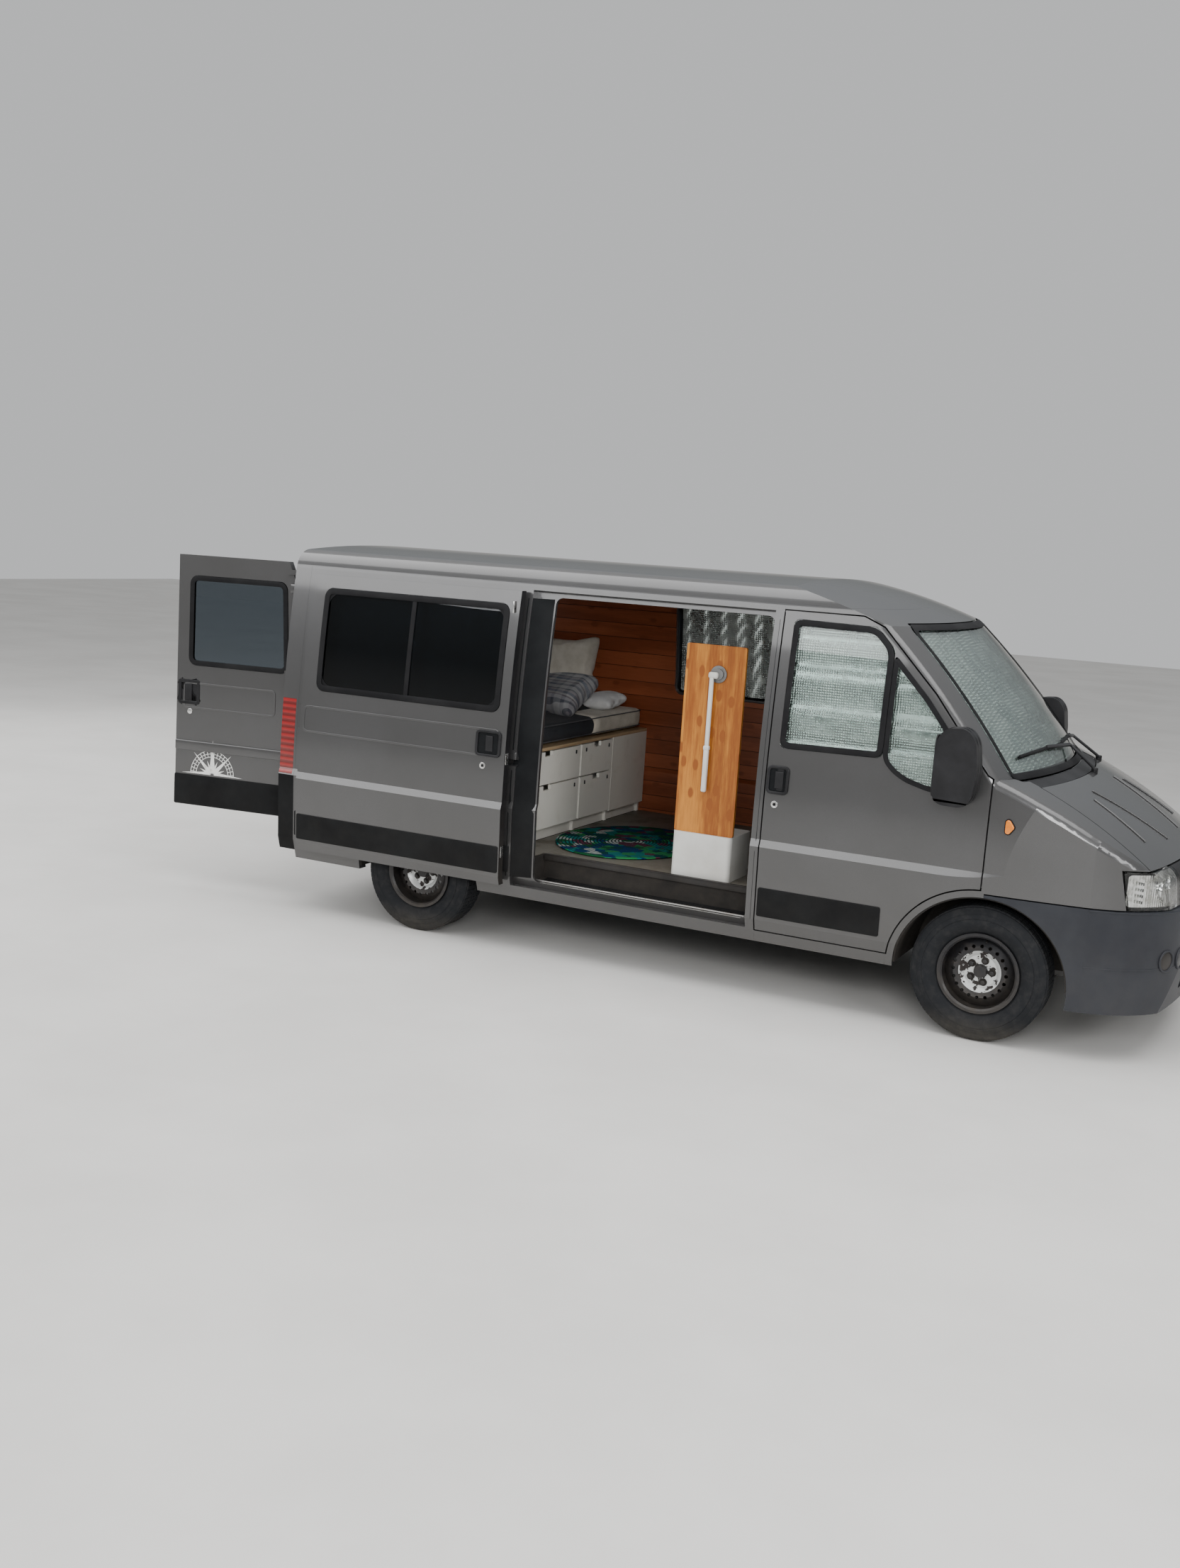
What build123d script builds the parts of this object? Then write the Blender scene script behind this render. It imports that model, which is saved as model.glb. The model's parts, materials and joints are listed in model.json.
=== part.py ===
"""Camper van: a steel panel van of medium wheelbase and low roof, fitted out with a bed.

The van stands on level ground.  X runs forwards, Y to the van's left and Z upwards.  The origin is
on the ground at the middle of the whole length, which counts the two open rear doors.
Every side-view number below is a distance from the front axle; planes carry the shift to the origin.
"""
from build123d import *
import os
from math import cos, radians, sin

os.makedirs("parts", exist_ok=True)

# Driving dimensions, in millimetres
wheelbase = 3200
front_overhang = 909
rear_overhang = 970
roof_height = 2150
sill_z = 300
floor_z = 530
half_width = 1000
track = 1720

# Thicknesses and gaps
door_thickness = 45
wall_depth = 65
lining_depth = 80
wing_skin = 12
bonnet_skin = 12
roof_skin = 30
bumper_skin = 30
glass_set_in = 6
glass_thickness = 5
shut_gap = 7
seat_gap = 0.3
floor_thickness = 30

# Wheels
tyre_radius = 335
tyre_width = 205
bead_radius = 190

# Side view stations, measured from the front axle
cab_door_front_x = -20
cab_door_rear_x = -1140
cab_door_bottom_z = 365
cab_door_top_z = 1995
rail_z = 2030
scuttle_z = 1285
wing_rear_x = cab_door_front_x + shut_gap
slide_front_x = -1200
slide_width = 1375
slide_bottom_z = 375
slide_top_z = 1985
slide_back_travel = 1415
slide_out_travel = 70
rear_face_x = -wheelbase - rear_overhang
rear_frame_depth = 110
rear_frame_x = rear_face_x + rear_frame_depth

# Rear doors, which stand open
rear_open_angle = 98
rear_hinge_behind = 30
rear_hinge_y = 825
rear_door_gap = 15
rear_door_width = 807
rear_door_bottom_z = 500
rear_door_top_z = 2035
rear_door_proud = 20

# The whole length decides where the front axle stands from the origin
rear_door_reach = (rear_door_width + rear_door_gap) * cos(radians(rear_open_angle - 90)) + (
    rear_hinge_behind - rear_door_proud + door_thickness) * sin(radians(rear_open_angle - 90))
rear_reach_x = rear_face_x - rear_hinge_behind - rear_door_reach
front_axle_x = -(front_overhang + rear_reach_x) / 2

# Heights on the flanks
crease_z = 800
crease_rise = 38
window_bottom_z = 1335
window_top_z = 1900

# Nose
nose_pivot_x = -2750
screen_base_x = 165
screen_top_x = -430
bonnet_rear_x = 262
lamp_bottom_z = 740
lamp_top_z = 922
lamp_inner_y = 540
bumper_bottom_z = 235
arch_centre_z = 300
arch_radius = 420
door_arch_radius = 458
shoulder_radius = 48


def side_plane(y=0.0):
    """Side view plane at a distance across the van: X from the front axle, then Z."""
    return Plane(origin=(front_axle_x, y, 0), x_dir=(1, 0, 0), z_dir=(0, -1, 0))


def section_plane(x=0.0):
    """Cross-section plane at a station from the front axle: Y, then Z."""
    return Plane(origin=(front_axle_x + x, 0, 0), x_dir=(0, 1, 0), z_dir=(1, 0, 0))


def floor_plane(z=0.0):
    """Plan view plane at a height: X from the front axle, then Y."""
    return Plane(origin=(front_axle_x, 0, z), x_dir=(1, 0, 0), z_dir=(0, 0, 1))


def upright_axis(x, y):
    return Axis((front_axle_x + x, y, 0), (0, 0, 1))


def drawn_in(rows, inset):
    """Points of a form line moved inwards; each row is (a, b, share of inset on a, on b)."""
    return [(a - inset * share_a, b - inset * share_b) for a, b, share_a, share_b in rows]


# Half cross-section: half width, height, and how the inset acts on each
section_rows = [
    (half_width - 50, sill_z, 1, 0),
    (half_width - 15, 420, 1, 0),
    (half_width, crease_z, 1, 0),
    (half_width - 12, crease_z + crease_rise, 1, 0.1),
    (half_width - 40, 1436, 1, 0.05),
    (half_width - 112, 2010, 1, 0.15),
    (half_width - 150, 2083, 0.8, 0.6),
    (half_width - 230, roof_height - 32, 0.1, 1),
    (400, roof_height - 8, 0, 1),
    (0, roof_height, 0, 1),
]
# Centre line of the roof front, windscreen, bonnet and nose: station, height, inset shares
nose_rows = [
    (-1500, roof_height + 22, 0, 1),
    (-930, roof_height - 38, 0.1, 1),
    (screen_top_x, 1960, 0.55, 0.85),
    (-118, 1640, 0.7, 0.7),
    (screen_base_x, scuttle_z, 0.6, 0.8),
    (500, 1130, 0.45, 0.9),
    (800, 930, 0.6, 0.8),
    (845, 895, 0.8, 0.6),
    (862, 850, 1, 0.1),
    (874, lamp_bottom_z - 2, 1, 0.1),
    (front_overhang - 6, 716, 1, 0.3),
    (front_overhang, 480, 1, 0),
    (872, bumper_bottom_z, 1, 0),
]
# Plan view: station, half width, inset shares
plan_rows = [
    (-250, half_width, 0, 1),
    (120, half_width - 15, 0, 1),
    (480, half_width - 60, 0.15, 1),
    (744, 780, 0.75, 0.67),
    (874, 500, 1, 0.15),
    (1000, 0, 1, 0),
]


def nose_profile(inset, bottom, rear):
    """The side profile, turned about a pivot far behind so that the nose bows in plan."""
    rows = drawn_in(nose_rows, inset)
    block_end_x = nose_rows[0][0]
    ring_start_x = block_end_x - 200
    block_top = rows[0][1]
    with BuildPart() as profile:
        with BuildSketch(side_plane()):
            with BuildLine():
                Line((ring_start_x, block_top), rows[0])
                ThreePointArc(rows[0], rows[1], rows[2])
                ThreePointArc(rows[2], rows[3], rows[4])
                ThreePointArc(rows[4], rows[5], rows[6])
                ThreePointArc(rows[6], rows[7], rows[8])
                Line(rows[8], rows[9])
                Line(rows[9], rows[10])
                ThreePointArc(rows[10], rows[11], rows[12])
                Polyline(rows[12], (rows[12][0], bottom - 1), (ring_start_x, bottom - 1),
                         (ring_start_x, block_top))
            make_face()
        revolve(axis=upright_axis(nose_pivot_x, 0), revolution_arc=360)
        with BuildSketch(side_plane()):
            with Locations(((rear + block_end_x) / 2, (bottom + block_top) / 2)):
                Rectangle(block_end_x - rear, block_top - bottom)
        extrude(amount=half_width + 100, both=True)
    return profile.part


def is_shoulder(edge):
    """Edges where the flank meets the windscreen pillar and the bonnet."""
    box = edge.bounding_box()
    inner_y = min(abs(box.min.Y), abs(box.max.Y))
    return (box.min.X > front_axle_x - 720 and box.max.X < front_axle_x + 715 and inner_y > 740
            and box.min.Z > 840 and box.size.Z > 15 and box.size.X > 20 and box.size.Y < 200
            and edge.geom_type != GeomType.LINE)


def body_form(inset=0, open_by=0):
    """The outer form of the body drawn inwards; open_by carries it past its bottom and rear."""
    bottom = bumper_bottom_z - open_by
    rear = rear_face_x - open_by
    half = drawn_in(section_rows, inset)
    plan = drawn_in(plan_rows, inset)
    profile = nose_profile(inset, bottom, rear)
    with BuildPart() as form:
        with BuildSketch(section_plane(rear)):
            with BuildLine():
                Polyline((half[0][0], bottom - 50), *half[0:4])
                ThreePointArc(half[3], half[4], half[5])
                ThreePointArc(half[5], half[6], half[7])
                ThreePointArc(half[7], half[8], half[9])
                mirror(about=Plane.YZ)
                Line((half[0][0], bottom - 50), (-half[0][0], bottom - 50))
            make_face()
        extrude(amount=front_overhang + 200 - rear)
        with BuildSketch(floor_plane()):
            with BuildLine():
                Line((rear - 200, plan[0][1]), plan[0])
                ThreePointArc(plan[0], plan[1], plan[2])
                ThreePointArc(plan[2], plan[3], plan[4])
                Line(plan[4], plan[5])
                mirror(about=Plane.XZ)
                Line((rear - 200, plan[0][1]), (rear - 200, -plan[0][1]))
            make_face()
        extrude(amount=roof_height + 200, both=True, mode=Mode.INTERSECT)
        add(profile, mode=Mode.INTERSECT)
        if shoulder_radius - inset > 5:
            fillet(form.edges().filter_by(is_shoulder), min(shoulder_radius, shoulder_radius - inset))
    return form.part


open_past = 300
body_forms = {0: body_form()}


def form_at(depth):
    """The body form at a depth under the outer face, built once and open below and behind."""
    if depth not in body_forms:
        body_forms[depth] = body_form(depth, open_past)
    return body_forms[depth]


def skin(outer_depth, inner_depth):
    """The layer of the body between two depths under its outer face."""
    return form_at(outer_depth) - form_at(inner_depth)


def block(x_range, y_range, z_range):
    """A box between two stations from the front axle, two distances across and two heights."""
    with BuildPart() as box:
        with BuildSketch(floor_plane(z_range[0])):
            with Locations((sum(x_range) / 2, sum(y_range) / 2)):
                Rectangle(x_range[1] - x_range[0], y_range[1] - y_range[0])
        extrude(amount=z_range[1] - z_range[0])
    return box.part


def side_block(outline, y_range, corner_radius=0, growth=0):
    """A prism across the van over a side-view outline, grown outwards and rounded if asked."""
    with BuildPart() as prism:
        with BuildSketch(side_plane(y_range[1])) as face:
            with BuildLine():
                Polyline(*outline, close=True)
            make_face()
            if growth:
                offset(amount=growth, kind=Kind.INTERSECTION)
            if corner_radius:
                fillet(face.vertices(), corner_radius + growth)
        extrude(amount=y_range[1] - y_range[0])
    return prism.part


def front_block(outline, x_range, corner_radius=0, growth=0):
    """A prism along the van over a front-view outline of (Y, Z) points."""
    with BuildPart() as prism:
        with BuildSketch(section_plane(x_range[0])) as face:
            with BuildLine():
                Polyline(*outline, close=True)
            make_face()
            if growth:
                offset(amount=growth, kind=Kind.INTERSECTION)
            if corner_radius:
                fillet(face.vertices(), corner_radius + growth)
        extrude(amount=x_range[1] - x_range[0])
    return prism.part


def cross_tube(x, z, radius, y_range, bore=0):
    """A round bar or tube across the van."""
    with BuildPart() as tube:
        with BuildSketch(side_plane(y_range[1])):
            with Locations((x, z)):
                Circle(radius)
                if bore:
                    Circle(bore, mode=Mode.SUBTRACT)
        extrude(amount=y_range[1] - y_range[0])
    return tube.part


def long_tube(y, z, radius, x_range):
    """A round bar along the van."""
    with BuildPart() as tube:
        with BuildSketch(section_plane(x_range[0])):
            with Locations((y, z)):
                Circle(radius)
        extrude(amount=x_range[1] - x_range[0])
    return tube.part


def upright_tube(x, y, radius, z_range):
    """A round upright bar."""
    with BuildPart() as tube:
        with BuildSketch(floor_plane(z_range[0])):
            with Locations((x, y)):
                Circle(radius)
        extrude(amount=z_range[1] - z_range[0])
    return tube.part


# Regions of the body in side view, shared by neighbouring panels
right_side = (-half_width - 200, -300)
whole_width = (-half_width - 200, half_width + 200)

cab_door_outline = [
    (cab_door_front_x, arch_centre_z + 200),
    (cab_door_front_x, 1285),
    (-45, 1300),
    (-335, 1655),
    (-628, 1950),
    (-735, cab_door_top_z),
    (cab_door_rear_x, cab_door_top_z),
    (cab_door_rear_x, cab_door_bottom_z),
    (-300, cab_door_bottom_z),
]
slide_outline = [
    (slide_front_x, slide_bottom_z),
    (slide_front_x, slide_top_z),
    (slide_front_x - slide_width, slide_top_z),
    (slide_front_x - slide_width, slide_bottom_z),
]
doorway_outline = [(-1207, 400), (-1207, 1960), (-2460, 1960), (-2460, 400)]
door_bevel = 12
door_step = 24
cab_doorway_inset = 40


def cab_door_block(growth, y_range=right_side):
    """The cab door's side-view shape, with the round cut above the wheel arch."""
    with BuildPart() as prism:
        add(side_block(cab_door_outline, y_range, growth=growth))
        add(cross_tube(0, arch_centre_z, door_arch_radius - growth, y_range), mode=Mode.SUBTRACT)
    return prism.part


# Windows of the cab door: the sliding pane and the fixed quarter pane
cab_pane_outline = [(-572, 1335), (-572, 1845), (-665, 1938), (-1075, 1945), (-1075, 1325)]
quarter_pane_outline = [(-545, 1330), (-545, 1800), (-150, 1365), (-150, 1345), (-200, 1310)]
window_seat = 14
side_window_outline = [
    (slide_front_x - 71, window_bottom_z),
    (slide_front_x - 71, window_top_z),
    (slide_front_x - slide_width + 110, window_top_z),
    (slide_front_x - slide_width + 110, window_bottom_z),
]
screen_outline = [(-825, 1292), (-722, 1950), (722, 1950), (825, 1292)]
glass_seat_depth = glass_set_in + glass_thickness + seat_gap
screen_x_range = (-800, 400)


def pane(cutter):
    """Glass let into the outer face inside a cutter's outline."""
    with BuildPart() as glass:
        add(skin(glass_set_in, glass_set_in + glass_thickness))
        add(cutter, mode=Mode.INTERSECT)
    return glass.part


def handed(shape, side):
    """Shapes are drawn on the right; the left one is the mirror image."""
    return shape if side == "right" else shape.mirror(Plane.XZ)


sides = ("right", "left")

# Cab door: the outer skin reaches the shut line, the inner box is stepped in from it
with BuildPart() as door_skin:
    add(skin(0, door_bevel))
    add(cab_door_block(0), mode=Mode.INTERSECT)

with BuildPart() as cab_door:
    add(skin(door_bevel, door_thickness))
    add(cab_door_block(-door_step), mode=Mode.INTERSECT)
    add(door_skin.part)
    for outline in (cab_pane_outline, quarter_pane_outline):
        add(side_block(outline, right_side, 18), mode=Mode.SUBTRACT)
        add(side_block(outline, right_side, 18, window_seat) - form_at(12), mode=Mode.SUBTRACT)
    add(side_block([(-1040, 1095), (-1125, 1095), (-1125, 1215), (-1040, 1215)], right_side, 18)
        - form_at(20), mode=Mode.SUBTRACT)

with BuildPart() as cab_glass:
    for outline in (cab_pane_outline, quarter_pane_outline):
        add(pane(side_block(outline, right_side, 18, window_seat - seat_gap)))

# Door handle: a pull bar across the recess
with BuildPart() as cab_handle:
    add(side_block([(-1050, 1095.3), (-1085, 1095.3), (-1085, 1214.7), (-1050, 1214.7)], right_side, 8))
    add(skin(0, 11), mode=Mode.INTERSECT)

# Mirror: a tall head on a short arm from the front corner of the door window
mirror_reach = 1150
with BuildPart() as mirror_head:
    with BuildSketch(side_plane(-1035)) as head_face:
        with BuildLine():
            Polyline((-70, 1165), (-60, 1440), (-100, 1478), (-240, 1478), (-265, 1440), (-262, 1175),
                     (-230, 1150), (-90, 1150), close=True)
        make_face()
        fillet(head_face.vertices(), 20)
    extrude(amount=mirror_reach - 1035)
    add(block((-200, -110), (-1040, -920), (1250, 1330)))
    add(form_at(0), mode=Mode.SUBTRACT)

for side in sides:
    with BuildPart() as door_panel:
        add(handed(cab_door.part, side))
    door_panel.part.label = "cab_door_" + side
    export_step(door_panel.part, "parts/cab_door_" + side + ".step")
    with BuildPart() as door_glass:
        add(handed(cab_glass.part, side))
    door_glass.part.label = "cab_door_glass_" + side
    export_step(door_glass.part, "parts/cab_door_glass_" + side + ".step")
    with BuildPart() as door_fittings:
        add(handed(cab_handle.part, side))
        add(handed(mirror_head.part, side))
    door_fittings.part.label = "cab_door_fittings_" + side
    export_step(door_fittings.part, "parts/cab_door_fittings_" + side + ".step")

# Side panels from the rear corner to the pillar behind the cab door
panel_rear_x = rear_frame_x + seat_gap
panel_front_x = cab_door_rear_x - shut_gap
roof_split_z = rail_z - seat_gap
rear_axle_x = -wheelbase
rear_arch_radius = 400

with BuildPart() as plain_side:
    add(skin(0, wall_depth))
    add(block((panel_rear_x, panel_front_x), right_side, (sill_z, roof_split_z)), mode=Mode.INTERSECT)
    add(cross_tube(rear_axle_x, arch_centre_z, rear_arch_radius, right_side), mode=Mode.SUBTRACT)

with BuildPart() as side_panel_right:
    add(plain_side.part)
    add(side_block(slide_outline, right_side, growth=shut_gap) - form_at(door_thickness + seat_gap),
        mode=Mode.SUBTRACT)
    add(side_block(doorway_outline, right_side, 40), mode=Mode.SUBTRACT)
    add(block((rear_frame_x + 40, slide_front_x - slide_width), right_side, (1035, 1070)) - form_at(30),
        mode=Mode.SUBTRACT)
side_panel_right.part.label = "side_panel_right"
export_step(side_panel_right.part, "parts/side_panel_right.step")

left_window_block = side_block(side_window_outline, (300, half_width + 200), 40)
left_window_seat = side_block(side_window_outline, (300, half_width + 200), 40, window_seat)
with BuildPart() as side_panel_left:
    add(plain_side.part.mirror(Plane.XZ))
    add(left_window_block, mode=Mode.SUBTRACT)
    add(left_window_seat - form_at(12), mode=Mode.SUBTRACT)
side_panel_left.part.label = "side_panel_left"
export_step(side_panel_left.part, "parts/side_panel_left.step")

with BuildPart() as side_window_left:
    add(pane(side_block(side_window_outline, (300, half_width + 200), 40, window_seat - seat_gap)))
side_window_left.part.label = "side_window_left"
export_step(side_window_left.part, "parts/side_window_left.step")

# Sliding door, drawn shut and then carried out and back to where it stands
slide_plane = Plane(origin=(-slide_back_travel, -slide_out_travel, 0))
with BuildPart() as slide_shut:
    add(skin(0, door_thickness))
    add(side_block(slide_outline, right_side), mode=Mode.INTERSECT)
    add(side_block(side_window_outline, right_side, 40), mode=Mode.SUBTRACT)
    add(side_block(side_window_outline, right_side, 40, window_seat) - form_at(12), mode=Mode.SUBTRACT)
    add(side_block([(-1245, 1095), (-1330, 1095), (-1330, 1215), (-1245, 1215)], right_side, 18)
        - form_at(20), mode=Mode.SUBTRACT)
with BuildPart() as slide_glass_shut:
    add(pane(side_block(side_window_outline, right_side, 40, window_seat - seat_gap)))
with BuildPart() as slide_handle_shut:
    add(side_block([(-1255, 1095.3), (-1290, 1095.3), (-1290, 1214.7), (-1255, 1214.7)], right_side, 8))
    add(skin(0, 11), mode=Mode.INTERSECT)

slide_pieces = {
    "sliding_door": slide_shut.part,
    "sliding_door_glass": slide_glass_shut.part,
}
for name, shape in slide_pieces.items():
    with BuildPart() as slide_piece:
        add(shape.moved(slide_plane.location))
    slide_piece.part.label = name
    export_step(slide_piece.part, "parts/" + name + ".step")

# Track along the flank and the arm that carries the door on it
slide_arm_x = slide_front_x - slide_width - slide_back_travel + 60
with BuildPart() as sliding_door_fittings:
    add(slide_handle_shut.part.moved(slide_plane.location))
    add(skin(11, 30))
    add(block((rear_frame_x + 41, slide_front_x - slide_width - 1), right_side, (1035 + seat_gap, 1041)),
        mode=Mode.INTERSECT)
    add(block((slide_arm_x, slide_arm_x + 60), (-1040, -968), (1041 + seat_gap, 1063)))
    add(slide_shut.part.moved(slide_plane.location), mode=Mode.SUBTRACT)
sliding_door_fittings.part.label = "sliding_door_fittings"
export_step(sliding_door_fittings.part, "parts/sliding_door_fittings.step")

# Roof with its front header above the windscreen
roof_front_x = -640
with BuildPart() as roof_panel:
    add(skin(0, roof_skin))
    add(block((rear_face_x, roof_front_x), whole_width, (rail_z, roof_height + 50)), mode=Mode.INTERSECT)
    add(block((rear_face_x - 50, rear_face_x + 36), (-rear_hinge_y, rear_hinge_y),
              (rail_z - 50, rear_door_top_z + shut_gap)), mode=Mode.SUBTRACT)
roof_panel.part.label = "roof_panel"
export_step(roof_panel.part, "parts/roof_panel.step")

# Cab frame: pillars, door rings, header and bulkhead
cab_floor_z = 465
liner_radius = 411.7
liner_inner_y = 535
rear_liner_inner_y = 684
bulkhead_x = 70
cab_frame_front_x = 62
screen_block = front_block(screen_outline, screen_x_range, 30)
screen_seat = front_block(screen_outline, screen_x_range, 30, 22)
wing_top_z = 1290
with BuildPart() as cab_shell:
    add(skin(0, wall_depth))
    add(block((panel_front_x + seat_gap, cab_frame_front_x), whole_width, (sill_z, roof_height + 50)),
        mode=Mode.INTERSECT)
    add(block((-2000, roof_front_x + seat_gap), whole_width, (rail_z - seat_gap, roof_height + 100)),
        mode=Mode.SUBTRACT)
    for side in sides:
        add(handed(cab_door_block(shut_gap) - form_at(door_thickness + seat_gap), side), mode=Mode.SUBTRACT)
        add(handed(cab_door_block(-cab_doorway_inset), side), mode=Mode.SUBTRACT)
        add(handed(side_block([(wing_rear_x - 3, 0), (wing_rear_x - 3, wing_top_z + seat_gap),
                               (400, wing_top_z + seat_gap), (400, 0)], right_side), side)
            - form_at(wing_skin + seat_gap), mode=Mode.SUBTRACT)
        add(handed(cross_tube(0, arch_centre_z, door_arch_radius, right_side), side), mode=Mode.SUBTRACT)
    add(screen_block, mode=Mode.SUBTRACT)
    add(screen_seat - form_at(12), mode=Mode.SUBTRACT)

with BuildPart() as bulkhead:
    add(block((cab_frame_front_x, bulkhead_x + 6), whole_width, (cab_floor_z - 25, 1240)))
    add(form_at(door_thickness + seat_gap), mode=Mode.INTERSECT)
    for hand in (-1, 1):
        add(cross_tube(0, arch_centre_z, liner_radius + 8 + seat_gap,
                       sorted((hand * half_width, hand * (liner_inner_y - seat_gap)))), mode=Mode.SUBTRACT)
with BuildPart() as cab_frame:
    add(cab_shell.part)
    add(bulkhead.part)
cab_frame.part.label = "cab_frame"
export_step(cab_frame.part, "parts/cab_frame.step")

with BuildPart() as windscreen:
    add(pane(front_block(screen_outline, screen_x_range, 30, 22 - seat_gap)))
windscreen.part.label = "windscreen"
export_step(windscreen.part, "parts/windscreen.step")


# Nose: wings, bonnet, scuttle, bumper, grille and headlamps meet on shared lines
bonnet_front_z = lamp_top_z + shut_gap
bumper_top_z = lamp_bottom_z - shut_gap


def bonnet_block(growth=0):
    """The bonnet's plan shape, its rear edge round the nose pivot and its front edge at one height."""
    side_line = [(100, 742 + growth), (660, 790 + growth), (1000, 820 + growth)]
    far_side = [(x, -y) for x, y in reversed(side_line)]
    with BuildPart() as prism:
        with BuildSketch(floor_plane(bonnet_front_z - growth)):
            with BuildLine():
                Polyline(*side_line, *far_side, close=True)
            make_face()
            with Locations((nose_pivot_x, 0)):
                Circle(bonnet_rear_x - nose_pivot_x - growth, mode=Mode.SUBTRACT)
        extrude(amount=roof_height - bonnet_front_z)
    return prism.part


def lamp_block(growth=0):
    """Where the right headlamp sits, with its raked rear edge on the flank."""
    outline = [(640, lamp_bottom_z), (605, lamp_top_z), (1000, lamp_top_z), (1000, lamp_bottom_z)]
    return side_block(outline, (-half_width - 100, -lamp_inner_y + growth), growth=growth)


def bumper_block(growth=0):
    """The nose below the headlamps, ahead of the wheel arch."""
    return block((0, front_overhang + 100), whole_width, (0, bumper_top_z + growth))


with BuildPart() as bonnet:
    add(skin(0, bonnet_skin))
    add(bonnet_block(), mode=Mode.INTERSECT)
bonnet.part.label = "bonnet"
export_step(bonnet.part, "parts/bonnet.step")

with BuildPart() as wing:
    add(skin(0, wing_skin))
    add(block((-700, front_overhang), (right_side[0], -742 - shut_gap), (sill_z, wing_top_z)),
        mode=Mode.INTERSECT)
    add(side_block([(wing_rear_x - 1, 758), (wing_rear_x - 1, 1400), (-800, 1400), (-800, 758)], right_side),
        mode=Mode.SUBTRACT)
    add(cab_door_block(shut_gap), mode=Mode.SUBTRACT)
    add(block((-800, -door_arch_radius + 1), right_side, (0, 800)), mode=Mode.SUBTRACT)
    add(cross_tube(0, arch_centre_z, arch_radius, right_side), mode=Mode.SUBTRACT)
    add(bumper_block(shut_gap), mode=Mode.SUBTRACT)
    add(lamp_block(shut_gap), mode=Mode.SUBTRACT)
    add(bonnet_block(shut_gap), mode=Mode.SUBTRACT)
    add(screen_seat, mode=Mode.SUBTRACT)
    add(cab_frame.part, mode=Mode.SUBTRACT)

# Channel on the wing's inner edge that carries the shut bonnet
with BuildPart() as bonnet_channel:
    add(skin(0, 20))
    add(bonnet_block(shut_gap + 5), mode=Mode.INTERSECT)
    add(bonnet_block(shut_gap), mode=Mode.SUBTRACT)
with BuildPart() as bonnet_ledge:
    add(skin(wing_skin + seat_gap, 20))
    add(bonnet_block(shut_gap), mode=Mode.INTERSECT)
    add(bonnet_block(-25), mode=Mode.SUBTRACT)
    add(bonnet_channel.part)
    add(block((cab_frame_front_x + 1, 620), (right_side[0], -500), (bonnet_front_z + 5, 1400)),
        mode=Mode.INTERSECT)
    add(upright_tube(nose_pivot_x, 0, bonnet_rear_x - nose_pivot_x - shut_gap, (800, 1500)),
        mode=Mode.SUBTRACT)
    add(lamp_block(shut_gap), mode=Mode.SUBTRACT)
with BuildPart() as front_wings:
    for side in sides:
        add(handed(wing.part, side))
        add(handed(bonnet_ledge.part, side))
front_wings.part.label = "front_wings"
export_step(front_wings.part, "parts/front_wings.step")

with BuildPart() as scuttle:
    add(skin(4, 20))
    add(block((cab_frame_front_x + seat_gap, 400), (-742, 742), (1150, 1400)), mode=Mode.INTERSECT)
    add(upright_tube(nose_pivot_x, 0, bonnet_rear_x - nose_pivot_x - shut_gap, (1100, 1500)),
        mode=Mode.INTERSECT)
    add(screen_seat, mode=Mode.SUBTRACT)

with BuildPart() as front_bumper:
    add(skin(0, bumper_skin))
    add(block((0, front_overhang), whole_width, (bumper_bottom_z, bumper_top_z)), mode=Mode.INTERSECT)
    add(cross_tube(0, arch_centre_z, arch_radius, whole_width), mode=Mode.SUBTRACT)
    add(front_block([(-470, 315), (-450, 440), (450, 440), (470, 315)], (500, 1000), 20), mode=Mode.SUBTRACT)
front_bumper.part.label = "front_bumper"
export_step(front_bumper.part, "parts/front_bumper.step")

grille_half_width = lamp_inner_y - shut_gap
carrier_x = 740
with BuildPart() as grille_ends:
    for hand in (-1, 1):
        add(block((carrier_x + seat_gap, 850), sorted((hand * 485, hand * 525)), (770, 850)))
    add(form_at(20), mode=Mode.INTERSECT)

with BuildPart() as lamp_backs:
    add(block((carrier_x + seat_gap, 850), (-640, -560), (770, 850)))
    add(form_at(20), mode=Mode.INTERSECT)

with BuildPart() as grille:
    add(skin(4, roof_skin))
    add(block((600, front_overhang), (-grille_half_width, grille_half_width), (lamp_bottom_z, lamp_top_z)),
        mode=Mode.INTERSECT)
    add(grille_ends.part)
    for level in (762, 806, 850):
        add(block((600, front_overhang), (-grille_half_width + 25, grille_half_width - 25),
                  (level, level + 26)) - form_at(20), mode=Mode.SUBTRACT)
with BuildPart() as grille_and_scuttle:
    add(grille.part)
    add(scuttle.part)
grille_and_scuttle.part.label = "grille_and_scuttle"
export_step(grille_and_scuttle.part, "parts/grille_and_scuttle.step")

with BuildPart() as headlamps:
    add(skin(4, door_thickness))
    add(lamp_block(), mode=Mode.INTERSECT)
    add(lamp_backs.part)
    mirror(about=Plane.XZ)
headlamps.part.label = "headlamps"
export_step(headlamps.part, "parts/headlamps.step")

# Rear: frame, lamps, bumper and the two doors
rear_corner_y = half_width + 10
rear_opening_y = 745
with BuildPart() as tail_lamps:
    add(block((rear_face_x, rear_face_x + 30), (-rear_corner_y, -842), (806, 1250)))
    add(block((rear_face_x, rear_face_x + 95), (-rear_corner_y, -945), (806, 1250)))
    add(form_at(0), mode=Mode.INTERSECT)
    mirror(about=Plane.XZ)
tail_lamps.part.label = "tail_lamps"
export_step(tail_lamps.part, "parts/tail_lamps.step")

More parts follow.
